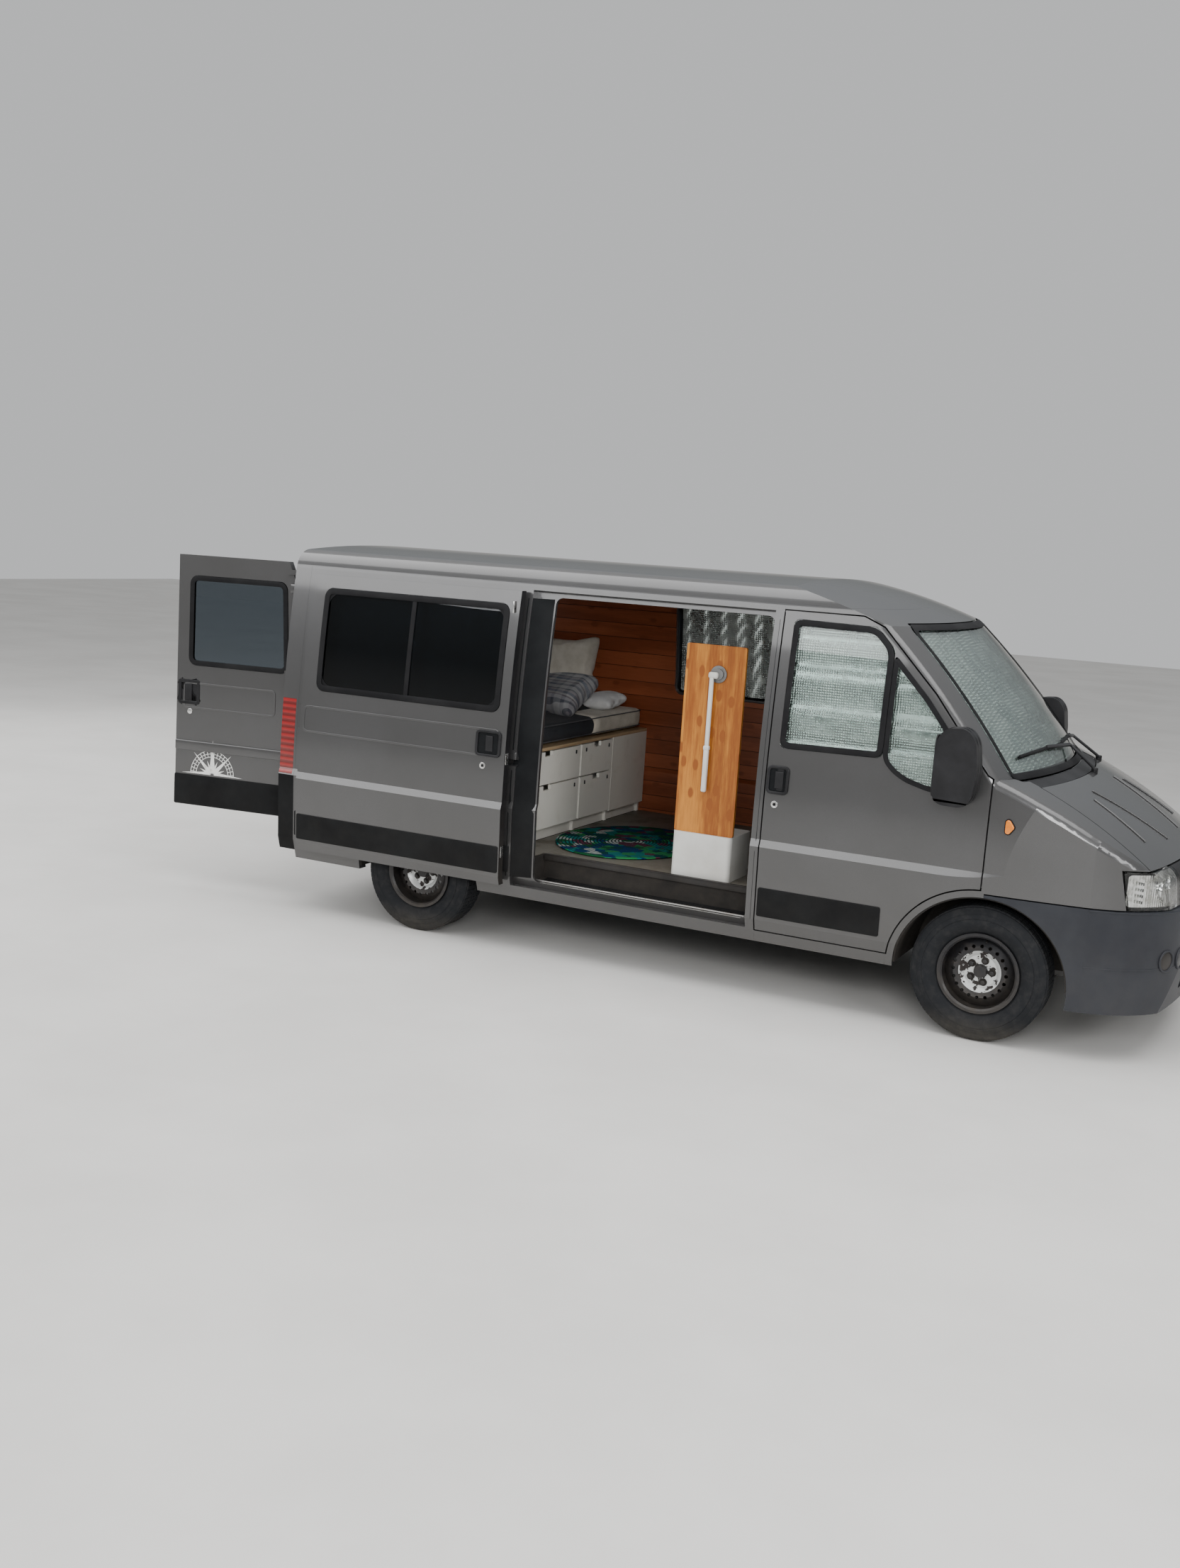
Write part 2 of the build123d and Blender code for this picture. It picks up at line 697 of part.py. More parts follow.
towing_eye_y = 600
towing_eye_z = 424
towing_eye_radius = 8
with BuildPart() as rear_bumper:
    add(block((rear_face_x, rear_frame_x), whole_width, (348, 488)))
    add(block((rear_face_x, rear_frame_x), (-rear_corner_y, -835), (348, 799)))
    add(block((rear_face_x, rear_frame_x), (835, rear_corner_y), (348, 799)))
    add(form_at(0), mode=Mode.INTERSECT)
    add(block((rear_face_x + 30, rear_frame_x + 1), (-940, 940), (300, 900)), mode=Mode.SUBTRACT)
    add(block((rear_face_x - 22, rear_face_x + 20), (-860, 860), (360, 488)))
    add(long_tube(-towing_eye_y, towing_eye_z, towing_eye_radius, (rear_face_x - 23, rear_face_x + 31)),
        mode=Mode.SUBTRACT)
rear_bumper.part.label = "rear_bumper"
export_step(rear_bumper.part, "parts/rear_bumper.step")

door_recess_front_x = rear_face_x - rear_door_proud + door_thickness + 6
with BuildPart() as rear_surround:
    add(block((rear_face_x, rear_frame_x - seat_gap), whole_width, (rear_door_bottom_z, roof_split_z)))
    add(form_at(0), mode=Mode.INTERSECT)
    add(block((rear_face_x - 1, door_recess_front_x), (-817, 817), (0, roof_height)), mode=Mode.SUBTRACT)
    add(block((rear_face_x - 1, rear_frame_x + 1), (-rear_opening_y, rear_opening_y), (floor_z + 1, 1965)),
        mode=Mode.SUBTRACT)
    for hand in (-1, 1):
        outer_y = sorted((hand * 830, hand * (rear_corner_y + 5)))
        lamp_y = sorted((hand * (842 - seat_gap), hand * (rear_corner_y + 5)))
        flank_y = sorted((hand * (945 - seat_gap), hand * (rear_corner_y + 5)))
        add(block((rear_face_x, rear_frame_x + 1), outer_y, (0, 799 + seat_gap)), mode=Mode.SUBTRACT)
        add(block((rear_face_x - 1, rear_face_x + 30 + seat_gap), lamp_y, (806 - seat_gap, 1250 + seat_gap)),
            mode=Mode.SUBTRACT)
        add(block((rear_face_x - 1, rear_face_x + 95 + seat_gap), flank_y, (806 - seat_gap, 1250 + seat_gap)),
            mode=Mode.SUBTRACT)
rear_outer_x = rear_face_x - rear_door_proud
rear_inner_x = rear_outer_x + door_thickness
rear_edge_y = rear_hinge_y - rear_door_gap
rear_free_y = rear_edge_y - rear_door_width
rear_door_outline = [
    (-rear_edge_y, rear_door_bottom_z),
    (-rear_edge_y, 1900),
    (-rear_edge_y + 55, rear_door_top_z),
    (-rear_free_y, rear_door_top_z),
    (-rear_free_y, rear_door_bottom_z),
]
rear_window_outline = [(-760, 1380), (-735, 1900), (-95, 1900), (-95, 1380)]
rear_hinge = upright_axis(rear_face_x - rear_hinge_behind, -rear_hinge_y)
rear_hinge_levels = (720, 1330, 1930)
with BuildPart() as rear_door_shut:
    add(front_block(rear_door_outline, (rear_outer_x, rear_inner_x)))
    add(front_block(rear_window_outline, (rear_outer_x - 1, rear_inner_x + 1), 40), mode=Mode.SUBTRACT)
    add(front_block(rear_window_outline, (rear_outer_x - 1, rear_outer_x + 12), 40, window_seat),
        mode=Mode.SUBTRACT)
with BuildPart() as rear_glass_shut:
    add(front_block(rear_window_outline, (rear_outer_x + glass_set_in, rear_outer_x + glass_set_in
                                          + glass_thickness), 40, window_seat - seat_gap))
with BuildPart() as rear_hinge_leaves:
    for level in rear_hinge_levels:
        add(upright_tube(rear_face_x - rear_hinge_behind, -rear_hinge_y, 9, (level + 30, level + 60)))
        add(block((rear_face_x - rear_hinge_behind - 3, rear_outer_x), (-rear_hinge_y, -rear_edge_y + 60),
                  (level + 30, level + 60)))
    add(rear_door_shut.part)
    for level in rear_hinge_levels:
        add(upright_tube(rear_face_x - rear_hinge_behind, -rear_hinge_y, 4 + seat_gap, (level, level + 61)),
            mode=Mode.SUBTRACT)
with BuildPart() as rear_hinge_knuckles:
    for level in rear_hinge_levels:
        add(upright_tube(rear_face_x - rear_hinge_behind, -rear_hinge_y, 9, (level - 30, level + 24)))
        add(upright_tube(rear_face_x - rear_hinge_behind, -rear_hinge_y, 4, (level, level + 55)))
        add(block((rear_face_x - rear_hinge_behind, rear_face_x), (-rear_hinge_y - 9, -rear_hinge_y - 3),
                  (level - 30, level + 24)))
        add(block((rear_face_x - 6, rear_face_x), (-rear_hinge_y - 45, -rear_hinge_y - 3),
                  (level - 30, level + 24)))
    add(tail_lamps.part, mode=Mode.SUBTRACT)
    mirror(about=Plane.XZ)
with BuildPart() as rear_frame:
    add(rear_surround.part)
    add(rear_hinge_knuckles.part)
rear_frame.part.label = "rear_frame"
export_step(rear_frame.part, "parts/rear_frame.step")

rear_shapes = {"rear_door_": rear_hinge_leaves.part, "rear_door_glass_": rear_glass_shut.part}
for side in sides:
    for name, shape in rear_shapes.items():
        with BuildPart() as rear_piece:
            add(handed(shape.rotate(rear_hinge, rear_open_angle), side))
        rear_piece.part.label = name + side
        export_step(rear_piece.part, "parts/" + name + side + ".step")

# Floor, rails and wheelhouses
rail_bottom_z = 400
jack_stations = (300, -3600)
well_y = -790


def wheelhouse(x, radius, thickness, inner_y):
    """A round liner over a wheel, closed on its inner side and open below."""
    with BuildPart() as liner:
        add(cross_tube(x, arch_centre_z, radius, (-half_width, -inner_y)))
        add(cross_tube(x, arch_centre_z, radius - thickness, (-half_width - 1, -inner_y - thickness)),
            mode=Mode.SUBTRACT)
        add(block((x - radius - 1, x + radius + 1), right_side, (-radius, arch_centre_z + 20)),
            mode=Mode.SUBTRACT)
        add(block((x - 60, x + 60), (-inner_y - thickness - 1, -inner_y + 1), (0, tyre_radius + 60)),
            mode=Mode.SUBTRACT)
        add(form_at(wing_skin + seat_gap), mode=Mode.INTERSECT)
    return liner.part


with BuildPart() as wheelhouses:
    add(wheelhouse(0, liner_radius + 8, 8, liner_inner_y))
    add(wheelhouse(rear_axle_x, rear_arch_radius - seat_gap, 8, rear_liner_inner_y))
    mirror(about=Plane.XZ)

with BuildPart() as floor_panel:
    add(block((panel_rear_x, panel_front_x), whole_width, (floor_z - floor_thickness, floor_z)))
    add(block((panel_front_x - 12, cab_frame_front_x), whole_width, (cab_floor_z - 25, cab_floor_z)))
    add(block((panel_front_x - 12, panel_front_x), whole_width, (cab_floor_z - 25, floor_z)))
    add(form_at(wall_depth + seat_gap), mode=Mode.INTERSECT)
    add(block((-2470, slide_front_x), (-half_width, well_y), (floor_z - 40, floor_z + 10)),
        mode=Mode.SUBTRACT)
    add(block((-2480, slide_front_x + 10), (-900, well_y + 12), (388, 400)))
    add(block((-2480, slide_front_x + 10), (well_y, well_y + 12), (388, floor_z)))
    add(block((-2480, -2468), (-900, well_y + 12), (388, floor_z)))
    for hand in (-1, 1):
        add(cross_tube(0, arch_centre_z, liner_radius + 8 + seat_gap,
                       sorted((hand * half_width, hand * (liner_inner_y - seat_gap)))), mode=Mode.SUBTRACT)
        add(cross_tube(rear_axle_x, arch_centre_z, rear_arch_radius,
                       sorted((hand * half_width, hand * (rear_liner_inner_y - seat_gap)))),
            mode=Mode.SUBTRACT)
        add(block((-4040, 560), sorted((hand * 470, hand * 530)), (rail_bottom_z, cab_floor_z - 25)))
        add(block((-4040, panel_front_x), sorted((hand * 470, hand * 530)), (rail_bottom_z, floor_z - 10)))
        for jack_x in jack_stations:
            add(block((jack_x - 40, jack_x + 40), sorted((hand * 470, hand * 530)),
                      (rail_bottom_z - 12, rail_bottom_z)))
with BuildPart() as floor_pan:
    add(floor_panel.part)
    add(wheelhouses.part)
floor_pan.part.label = "floor_pan"
export_step(floor_pan.part, "parts/floor_pan.step")

# Wheels: each tyre and rim is turned about its hub line
rim_width = 160
rim_radius = 189.7
hub_radius = 62
hub_face = 15
hub_gap = 6
rear_hub_y = track / 2 - 27 - hub_gap
bolt_circle_radius = 56
stub_radius = 20


def wheel_plane(x, y):
    """Section plane through a hub: across the van, then up."""
    return Plane(origin=(front_axle_x + x, y, tyre_radius), x_dir=(0, 1, 0), z_dir=(1, 0, 0))


def hub_line(x):
    return Axis((front_axle_x + x, 0, tyre_radius), (0, 1, 0))


def tyre_shape(x, y):
    half = tyre_width / 2
    bead_half = rim_width / 2 - 10
    with BuildPart() as shape:
        with BuildSketch(wheel_plane(x, y)):
            with BuildLine():
                Line((-bead_half, bead_radius), (bead_half, bead_radius))
                ThreePointArc((bead_half, bead_radius), (half, 258), (half - 18, 322))
                ThreePointArc((half - 18, 322), (half - 23, 329), (half - 32, tyre_radius - 2))
                ThreePointArc((half - 32, tyre_radius - 2), (0, tyre_radius), (32 - half, tyre_radius - 2))
                ThreePointArc((32 - half, tyre_radius - 2), (23 - half, 329), (18 - half, 322))
                ThreePointArc((18 - half, 322), (-half, 258), (-bead_half, bead_radius))
            make_face()
        revolve(axis=hub_line(x))
    return shape.part


def rim_shape(x, y, out):
    """A steel rim; out is -1 on the right of the van and 1 on the left."""
    edge = rim_width / 2
    barrel = [(-edge - 3, rim_radius), (-edge - 3, rim_radius + 9), (-edge, rim_radius + 9),
              (-edge + 2, rim_radius), (edge - 2, rim_radius), (edge, rim_radius + 9),
              (edge + 3, rim_radius + 9), (edge + 3, rim_radius - 5), (edge - 6, rim_radius - 14),
              (6 - edge, rim_radius - 14)]
    dish = [(hub_face, 32), (hub_face, 80), (hub_face + 24, 104), (hub_face + 30, 128), (hub_face + 16, 150),
            (hub_face - 4, rim_radius - 12), (hub_face - 12, rim_radius - 12), (hub_face + 6, 148),
            (hub_face + 21, 128), (hub_face + 16, 108), (hub_face - 8, 84), (hub_face - 8, 32)]
    hub = [(hub_face - 7, 0), (hub_face - 7, hub_radius), (hub_face - 42, hub_radius), (hub_face - 42, 0)]
    bore = [(hub_face - 7, 0), (hub_face - 43, 0), (hub_face - 43, stub_radius + seat_gap),
            (hub_face - 7, stub_radius + seat_gap)]
    with BuildPart() as shape:
        with BuildSketch(wheel_plane(x, y)):
            for outline in (barrel, dish, hub):
                with BuildLine():
                    Polyline(*[(out * w, r) for w, r in outline], close=True)
                make_face()
            with Locations((out * (hub_face + 8), 15)):
                Rectangle(32, 30)
            with BuildLine():
                Polyline(*[(out * w, r) for w, r in bore], close=True)
            make_face(mode=Mode.SUBTRACT)
        revolve(axis=hub_line(x))
        with BuildSketch(side_plane(y + out * (hub_face + 60) if out > 0 else y)):
            with Locations((x, tyre_radius)):
                with PolarLocations(128, 20):
                    Circle(9)
        extrude(amount=60 + hub_face, mode=Mode.SUBTRACT)
        with BuildSketch(side_plane(y + out * hub_face + (14 if out > 0 else 0))):
            with Locations((x, tyre_radius)):
                with PolarLocations(bolt_circle_radius, 5):
                    RegularPolygon(11, 6)
        extrude(amount=14)
    return shape.part


axles = {"front": 0, "rear": -wheelbase}
for axle, axle_x in axles.items():
    for side, out in (("right", -1), ("left", 1)):
        with BuildPart() as tyre:
            add(tyre_shape(axle_x, out * track / 2))
        tyre.part.label = "tyre_" + axle + "_" + side
        export_step(tyre.part, "parts/tyre_" + axle + "_" + side + ".step")
        with BuildPart() as rim:
            add(rim_shape(axle_x, out * track / 2, out))
        rim.part.label = "rim_" + axle + "_" + side
        export_step(rim.part, "parts/rim_" + axle + "_" + side + ".step")

# Front suspension: knuckles turn on leaning pivots, each with its strut
pivot_lean = 12
pivot_foot = (-800, 200)
with BuildPart() as knuckle:
    strut_plane = Plane(origin=(front_axle_x, pivot_foot[0], pivot_foot[1]), x_dir=(1, 0, 0),
                        z_dir=(0, sin(radians(pivot_lean)), cos(radians(pivot_lean))))
    with BuildSketch(strut_plane.offset(16)):
        Circle(26)
    extrude(amount=470)
    with BuildSketch(strut_plane.offset(-1.6)):
        Circle(10)
    extrude(amount=20)
    add(cross_tube(0, tyre_radius, 42, (-rear_hub_y, -760)))
    add(cross_tube(0, tyre_radius, stub_radius, (-rear_hub_y - 30, -rear_hub_y)))
for side in sides:
    with BuildPart() as knuckle_piece:
        add(handed(knuckle.part, side))
    knuckle_piece.part.label = "knuckle_" + side
    export_step(knuckle_piece.part, "parts/knuckle_" + side + ".step")

with BuildPart() as front_subframe:
    add(block((carrier_x - 40, carrier_x), (-700, 700), (rail_bottom_z, 860)))
    add(block((carrier_x - 41, carrier_x + 1), (-400, 400), (300, 700)), mode=Mode.SUBTRACT)
    add(block((-120, 240), (-430, 430), (190, 260 - seat_gap)))
    for hand in (-1, 1):
        with BuildSketch(floor_plane(176)):
            with BuildLine():
                Polyline((-110, hand * 425), (110, hand * 425), (24, hand * 790), (-24, hand * 790),
                         close=True)
            make_face()
        extrude(amount=20)
        add(block((-110, 110), sorted((hand * 425, hand * 530)), (176, rail_bottom_z - seat_gap)))
        add(block((560 + seat_gap, carrier_x), sorted((hand * 470, hand * 530)),
                  (rail_bottom_z, cab_floor_z - 25)))
front_subframe.part.label = "front_subframe"
export_step(front_subframe.part, "parts/front_subframe.step")

with BuildPart() as engine:
    add(block((130, 640), (-400, 380), (260, 860)))
    fillet(engine.edges().filter_by(Axis.Z), 40)
engine.part.label = "engine"
export_step(engine.part, "parts/engine.step")

# Rear suspension and what hangs under the floor
with BuildPart() as rear_axle:
    add(cross_tube(rear_axle_x, tyre_radius, 38, (-rear_hub_y, rear_hub_y)))
    add(cross_tube(rear_axle_x, tyre_radius, stub_radius, (-rear_hub_y - 30, rear_hub_y + 30)))
    for hand in (-1, 1):
        arm_y = sorted((hand * 570, hand * 640))
        add(side_block([(-2640, 395), (-2640, 470), (-3240, 372), (-3240, 300), (-3160, 300)], arm_y))
        add(upright_tube(rear_axle_x, hand * 605, 50, (360, floor_z - floor_thickness - seat_gap)))
rear_axle.part.label = "rear_axle"
export_step(rear_axle.part, "parts/rear_axle.step")

with BuildPart() as fuel_tank:
    add(block((-2380, -1500), (-400, 380), (270, floor_z - floor_thickness - seat_gap)))
    fillet(fuel_tank.edges(), 40)
fuel_tank.part.label = "fuel_tank"
export_step(fuel_tank.part, "parts/fuel_tank.step")

with BuildPart() as exhaust:
    add(long_tube(-490, rail_bottom_z - 60 - seat_gap, 28, (-3120, -200)))
    add(long_tube(-490, rail_bottom_z - 60 - seat_gap, 60, (-3080, -2500)))
exhaust.part.label = "exhaust"
export_step(exhaust.part, "parts/exhaust.step")

with BuildPart() as spare_wheel:
    with BuildSketch(floor_plane(floor_z - floor_thickness - seat_gap - 180)):
        with Locations((-3730, 0)):
            Circle(tyre_radius - 15)
            Circle(70, mode=Mode.SUBTRACT)
    extrude(amount=180)
    fillet(spare_wheel.edges().filter_by(GeomType.CIRCLE).group_by(SortBy.LENGTH)[-1], 45)
spare_wheel.part.label = "spare_wheel"
export_step(spare_wheel.part, "parts/spare_wheel.step")

# Cab: dashboard, steering wheel and two seats
driver_y = 440
steering_tilt = 50
steering_centre = (front_axle_x - 420, driver_y, 1035)
steering_plane = Plane(origin=steering_centre, x_dir=(0, 1, 0),
                       z_dir=(-sin(radians(90 - steering_tilt)), 0, cos(radians(90 - steering_tilt))))
with BuildPart() as dashboard:
    add(side_block([(61.7, 780), (61.7, 1150), (-60, 1150), (-250, 1090), (-290, 1010), (-240, 800)],
                   (-890, 890), 30))
    add(block((-300, 50), (-150, 150), (cab_floor_z + seat_gap, 810)))
    add(form_at(wall_depth + seat_gap), mode=Mode.INTERSECT)
    add(wheelhouses.part, mode=Mode.SUBTRACT)
    with BuildSketch(steering_plane.offset(-30 - seat_gap)):
        Circle(42)
    extrude(amount=-260)
dashboard.part.label = "dashboard"
export_step(dashboard.part, "parts/dashboard.step")

with BuildPart() as steering_wheel:
    with BuildSketch(Plane(origin=steering_plane.origin, x_dir=steering_plane.x_dir,
                           z_dir=steering_plane.y_dir)):
        with Locations((190, 0)):
            Circle(14)
    revolve(axis=Axis(steering_plane.origin, steering_plane.z_dir))
    with BuildSketch(steering_plane.offset(-30)):
        Circle(48)
    extrude(amount=34)
    with BuildSketch(steering_plane.offset(-10)):
        Rectangle(370, 34)
        with Locations((0, -90)):
            Rectangle(34, 180)
    extrude(amount=12)
steering_wheel.part.label = "steering_wheel"
export_step(steering_wheel.part, "parts/steering_wheel.step")

seat_y = 470
with BuildPart() as cab_seats:
    for hand in (-1, 1):
        across = sorted((hand * (seat_y - 240), hand * (seat_y + 240)))
        add(block((-940, -560), sorted((hand * (seat_y - 200), hand * (seat_y + 200))),
                  (cab_floor_z + seat_gap, 720)))
        add(side_block([(-990, 715), (-470, 725), (-450, 800), (-500, 850), (-960, 830)], across, 25))
        add(side_block([(-960, 800), (-850, 820), (-1000, 1420), (-1060, 1440), (-1100, 1400)], across, 25))
        add(side_block([(-1020, 1430), (-1010, 1620), (-1080, 1620), (-1100, 1430)],
                       sorted((hand * (seat_y - 130), hand * (seat_y + 130))), 20))
cab_seats.part.label = "cab_seats"
export_step(cab_seats.part, "parts/cab_seats.step")

# Living area: bed with drawers, mattress, pillows, linings and table
bed_top_z = 1080
bed_front_x = -2660
board = 18
column_edges = [(-852, -47), (-23, 400)]
row_edges = [(604, 856), (864, 1055)]
box_edges = [(-852, -44), (-26, 406)]
drawer_depth = 430
runner = 11.7
with BuildPart() as bed_base:
    add(block((rear_frame_x + 12, bed_front_x), (-905, 905), (bed_top_z - board, bed_top_z)))
    for y in (-870, -44, 406, 886):
        add(block((rear_frame_x + 12, bed_front_x - board - 6), (y, y + board),
                  (floor_z + seat_gap, bed_top_z)))
    for low_z, high_z in row_edges:
        for low_y, high_y in box_edges:
            for face_y in ((low_y, low_y + runner), (high_y - runner, high_y)):
                add(block((bed_front_x - drawer_depth, bed_front_x - board - 6), face_y,
                          (low_z + 40, low_z + 75)))
    add(block((bed_front_x - 60, bed_front_x - 42), (-870, 904), (floor_z + seat_gap, 596)))
    add(block((bed_front_x - board, bed_front_x), (406, 904), (596, bed_top_z)))
    add(form_at(lining_depth + seat_gap), mode=Mode.INTERSECT)
    for hand in (-1, 1):
        add(cross_tube(rear_axle_x, arch_centre_z, rear_arch_radius + 1,
                       sorted((hand * half_width, hand * (rear_liner_inner_y - 1)))), mode=Mode.SUBTRACT)
bed_base.part.label = "bed_base"
export_step(bed_base.part, "parts/bed_base.step")

drawer_names = {
    (0, 0): "drawer_lower_right",
    (0, 1): "drawer_upper_right",
    (1, 0): "drawer_lower_left",
    (1, 1): "drawer_upper_left",
}
for (column, row), name in drawer_names.items():
    low_y, high_y = column_edges[column]
    low_z, high_z = row_edges[row]
    box_y = (box_edges[column][0] + runner + seat_gap, box_edges[column][1] - runner - seat_gap)
    if (column, row) == (0, 0):
        box_y = (-660, box_y[1])
    with BuildPart() as drawer:
        add(block((bed_front_x - board, bed_front_x), (low_y, high_y), (low_z, high_z)))
        add(block((bed_front_x - drawer_depth, bed_front_x - board), box_y, (low_z + 10, high_z - 20)))
        add(block((bed_front_x - drawer_depth + 12, bed_front_x - board), (box_y[0] + 12, box_y[1] - 12),
                  (low_z + 18, high_z)), mode=Mode.SUBTRACT)
        add(block((bed_front_x - board - 1, bed_front_x + 1),
                  ((low_y + high_y) / 2 - 45, (low_y + high_y) / 2 + 45), (high_z - 28, high_z + 1)),
            mode=Mode.SUBTRACT)
    drawer.part.label = name
    export_step(drawer.part, "parts/" + name + ".step")

mattress_top_z = 1215
with BuildPart() as mattress:
    add(block((rear_frame_x + 15, bed_front_x - 8), (-865, 865), (bed_top_z + seat_gap, mattress_top_z)))
    fillet(mattress.edges(), 28)
    add(form_at(lining_depth + seat_gap), mode=Mode.INTERSECT)
mattress.part.label = "mattress"
export_step(mattress.part, "parts/mattress.step")

pillow_table = [
    # from, to, right edge, left edge, top, rounding
    (-3340, -2780, 20, 380, 1400, 80),
    (-2910, -2700, 400, 690, 1320, 48),
    (-3520, -2990, 700, 810, 1610, 50),
]
pillow_shapes = []
for start_x, end_x, right_y, left_y, top_z, rounding in pillow_table:
    with BuildPart() as pillow:
        add(block((start_x, end_x), (right_y, left_y), (mattress_top_z + seat_gap, top_z)))
        fillet(pillow.edges(), rounding)
    pillow_shapes.append(pillow.part)
with BuildPart() as pillows:
    add(pillow_shapes)
pillows.part.label = "pillows"
export_step(pillows.part, "parts/pillows.step")

lining_skin = skin(wall_depth + seat_gap, lining_depth)
with BuildPart() as lining_left:
    add(lining_skin)
    add(block((rear_frame_x + 1, panel_front_x - 1), (500, half_width), (floor_z + 1, 1990)),
        mode=Mode.INTERSECT)
    add(left_window_seat, mode=Mode.SUBTRACT)
    add(cross_tube(rear_axle_x, arch_centre_z, rear_arch_radius + 1, (600, half_width)),
        mode=Mode.SUBTRACT)
with BuildPart() as lining_right:
    add(lining_skin)
    add(block((rear_frame_x + 1, -2500), (-half_width, -500), (floor_z + 1, 1990)), mode=Mode.INTERSECT)
    add(cross_tube(rear_axle_x, arch_centre_z, rear_arch_radius + 1, (-half_width, -600)),
        mode=Mode.SUBTRACT)
with BuildPart() as wall_lining:
    add(lining_left.part)
    add(lining_right.part)
wall_lining.part.label = "wall_lining"
export_step(wall_lining.part, "parts/wall_lining.step")

with BuildPart() as floor_covering:
    add(block((bed_front_x - board - 6 + seat_gap, panel_front_x - 2), whole_width,
              (floor_z + seat_gap, floor_z + 4)))
    add(form_at(lining_depth + seat_gap), mode=Mode.INTERSECT)
    add(block((-2490, slide_front_x + 20), (-half_width, well_y + 14), (floor_z - 5, floor_z + 10)),
        mode=Mode.SUBTRACT)
floor_covering.part.label = "floor_covering"
export_step(floor_covering.part, "parts/floor_covering.step")

table_x_range = (-1716, -1380)
table_foot_z = 775
with BuildPart() as storage_box:
    add(block(table_x_range, (-775, -475), (floor_z + 4 + seat_gap, table_foot_z)))
    fillet(storage_box.edges().filter_by(Axis.Z), 25)
storage_box.part.label = "storage_box"
export_step(storage_box.part, "parts/storage_box.step")

with BuildPart() as table_top:
    add(side_block([(table_x_range[0], table_foot_z + seat_gap), (table_x_range[0], 1780),
                    (table_x_range[1], 1780), (table_x_range[1], table_foot_z + seat_gap)], (-759, -741), 12))
table_top.part.label = "table_top"
export_step(table_top.part, "parts/table_top.step")

with BuildPart() as table_leg:
    add(cross_tube(-1526, 1629, 60, (-771, -759 - seat_gap)))
    add(block((-1578, -1532), (-794, -771), (1000, 1640)))
table_leg.part.label = "table_leg"
export_step(table_leg.part, "parts/table_leg.step")
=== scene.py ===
# %% [markdown]
# # A camper van, dressed for the camera
# The solids of the van come from a CAD model: panels, doors, glass, wheels and the bed.
# This notebook gives them their finishes and adds what is too fine for CAD: rubber seals,
# rub strips, tyre tread, lamp reflectors, wipers, quilted mats, pillows and the rug.
# Every piece is modelled as by hand: a primitive is added where it belongs, and then shaped.

import bpy
import bmesh
import json
import math
from contextlib import contextmanager
from mathutils import Matrix, Vector


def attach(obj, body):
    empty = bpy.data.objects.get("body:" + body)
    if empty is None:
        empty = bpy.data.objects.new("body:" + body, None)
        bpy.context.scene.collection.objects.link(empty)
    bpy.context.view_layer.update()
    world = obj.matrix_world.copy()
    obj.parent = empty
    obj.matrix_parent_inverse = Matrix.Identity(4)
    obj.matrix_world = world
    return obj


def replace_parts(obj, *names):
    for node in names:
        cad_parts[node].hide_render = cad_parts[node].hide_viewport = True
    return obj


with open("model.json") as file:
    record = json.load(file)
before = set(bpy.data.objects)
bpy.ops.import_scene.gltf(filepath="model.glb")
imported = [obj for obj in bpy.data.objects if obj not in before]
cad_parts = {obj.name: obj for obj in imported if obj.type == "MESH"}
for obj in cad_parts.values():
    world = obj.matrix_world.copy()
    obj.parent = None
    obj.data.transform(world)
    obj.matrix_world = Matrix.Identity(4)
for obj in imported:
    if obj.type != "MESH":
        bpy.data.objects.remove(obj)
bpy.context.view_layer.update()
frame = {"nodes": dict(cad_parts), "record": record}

# %% [markdown]
# ## Measuring from the front axle
# A van is drawn from its front axle: every station is so many millimetres ahead of it or behind.
# Blender works in metres from the middle of the van, so one small function turns the drawing's
# numbers into places, and all the tables below can keep the numbers of the drawing. Flat trim
# starts on a plane ahead of the van or beside it, and is pressed onto the van from there.

# %% Places
FRONT_AXLE = 2.0563274
AHEAD = 1500
BESIDE = 1300


def spot(x, y, z):
    """A point of the drawing, in mm from the front axle, as a place in metres."""
    return Vector((FRONT_AXLE + x / 1000, y / 1000, z / 1000))


SIDES = {"right": -1, "left": 1}
print("front axle stands at", FRONT_AXLE)

# %% [markdown]
# ## The camera
# The photograph was taken from the right, a little above eye level, with the camera tipped down
# and held not quite level. Its place and turn were worked out from points of the van that can be
# recognised in it. The frame of the photograph isn't centred on the lens, so a small shift is left.

# %% Camera
CAMERA_SPOT = (1569.8, -8548.1, 2343.2)
CAMERA_YAW = 0.471494
CAMERA_PITCH = 0.162590
CAMERA_ROLL = 0.061950
CAMERA_FOCAL_PX = 2253.66
FRAME_HEIGHT_PX = 2212
SENSOR_HEIGHT_MM = 36
LENS_SHIFT_PX = (38.79, 6.34)


def camera_turn(yaw, pitch, roll):
    """The camera's rotation: it looks along +Y at yaw 0, then turns left, down and sideways."""
    forward = Vector((-math.sin(yaw) * math.cos(pitch), math.cos(yaw) * math.cos(pitch), -math.sin(pitch)))
    level = Vector((math.cos(yaw), math.sin(yaw), 0))
    upright = level.cross(forward)
    right = math.cos(roll) * level + math.sin(roll) * upright
    up = math.cos(roll) * upright - math.sin(roll) * level
    return Matrix((right, up, -forward)).transposed()


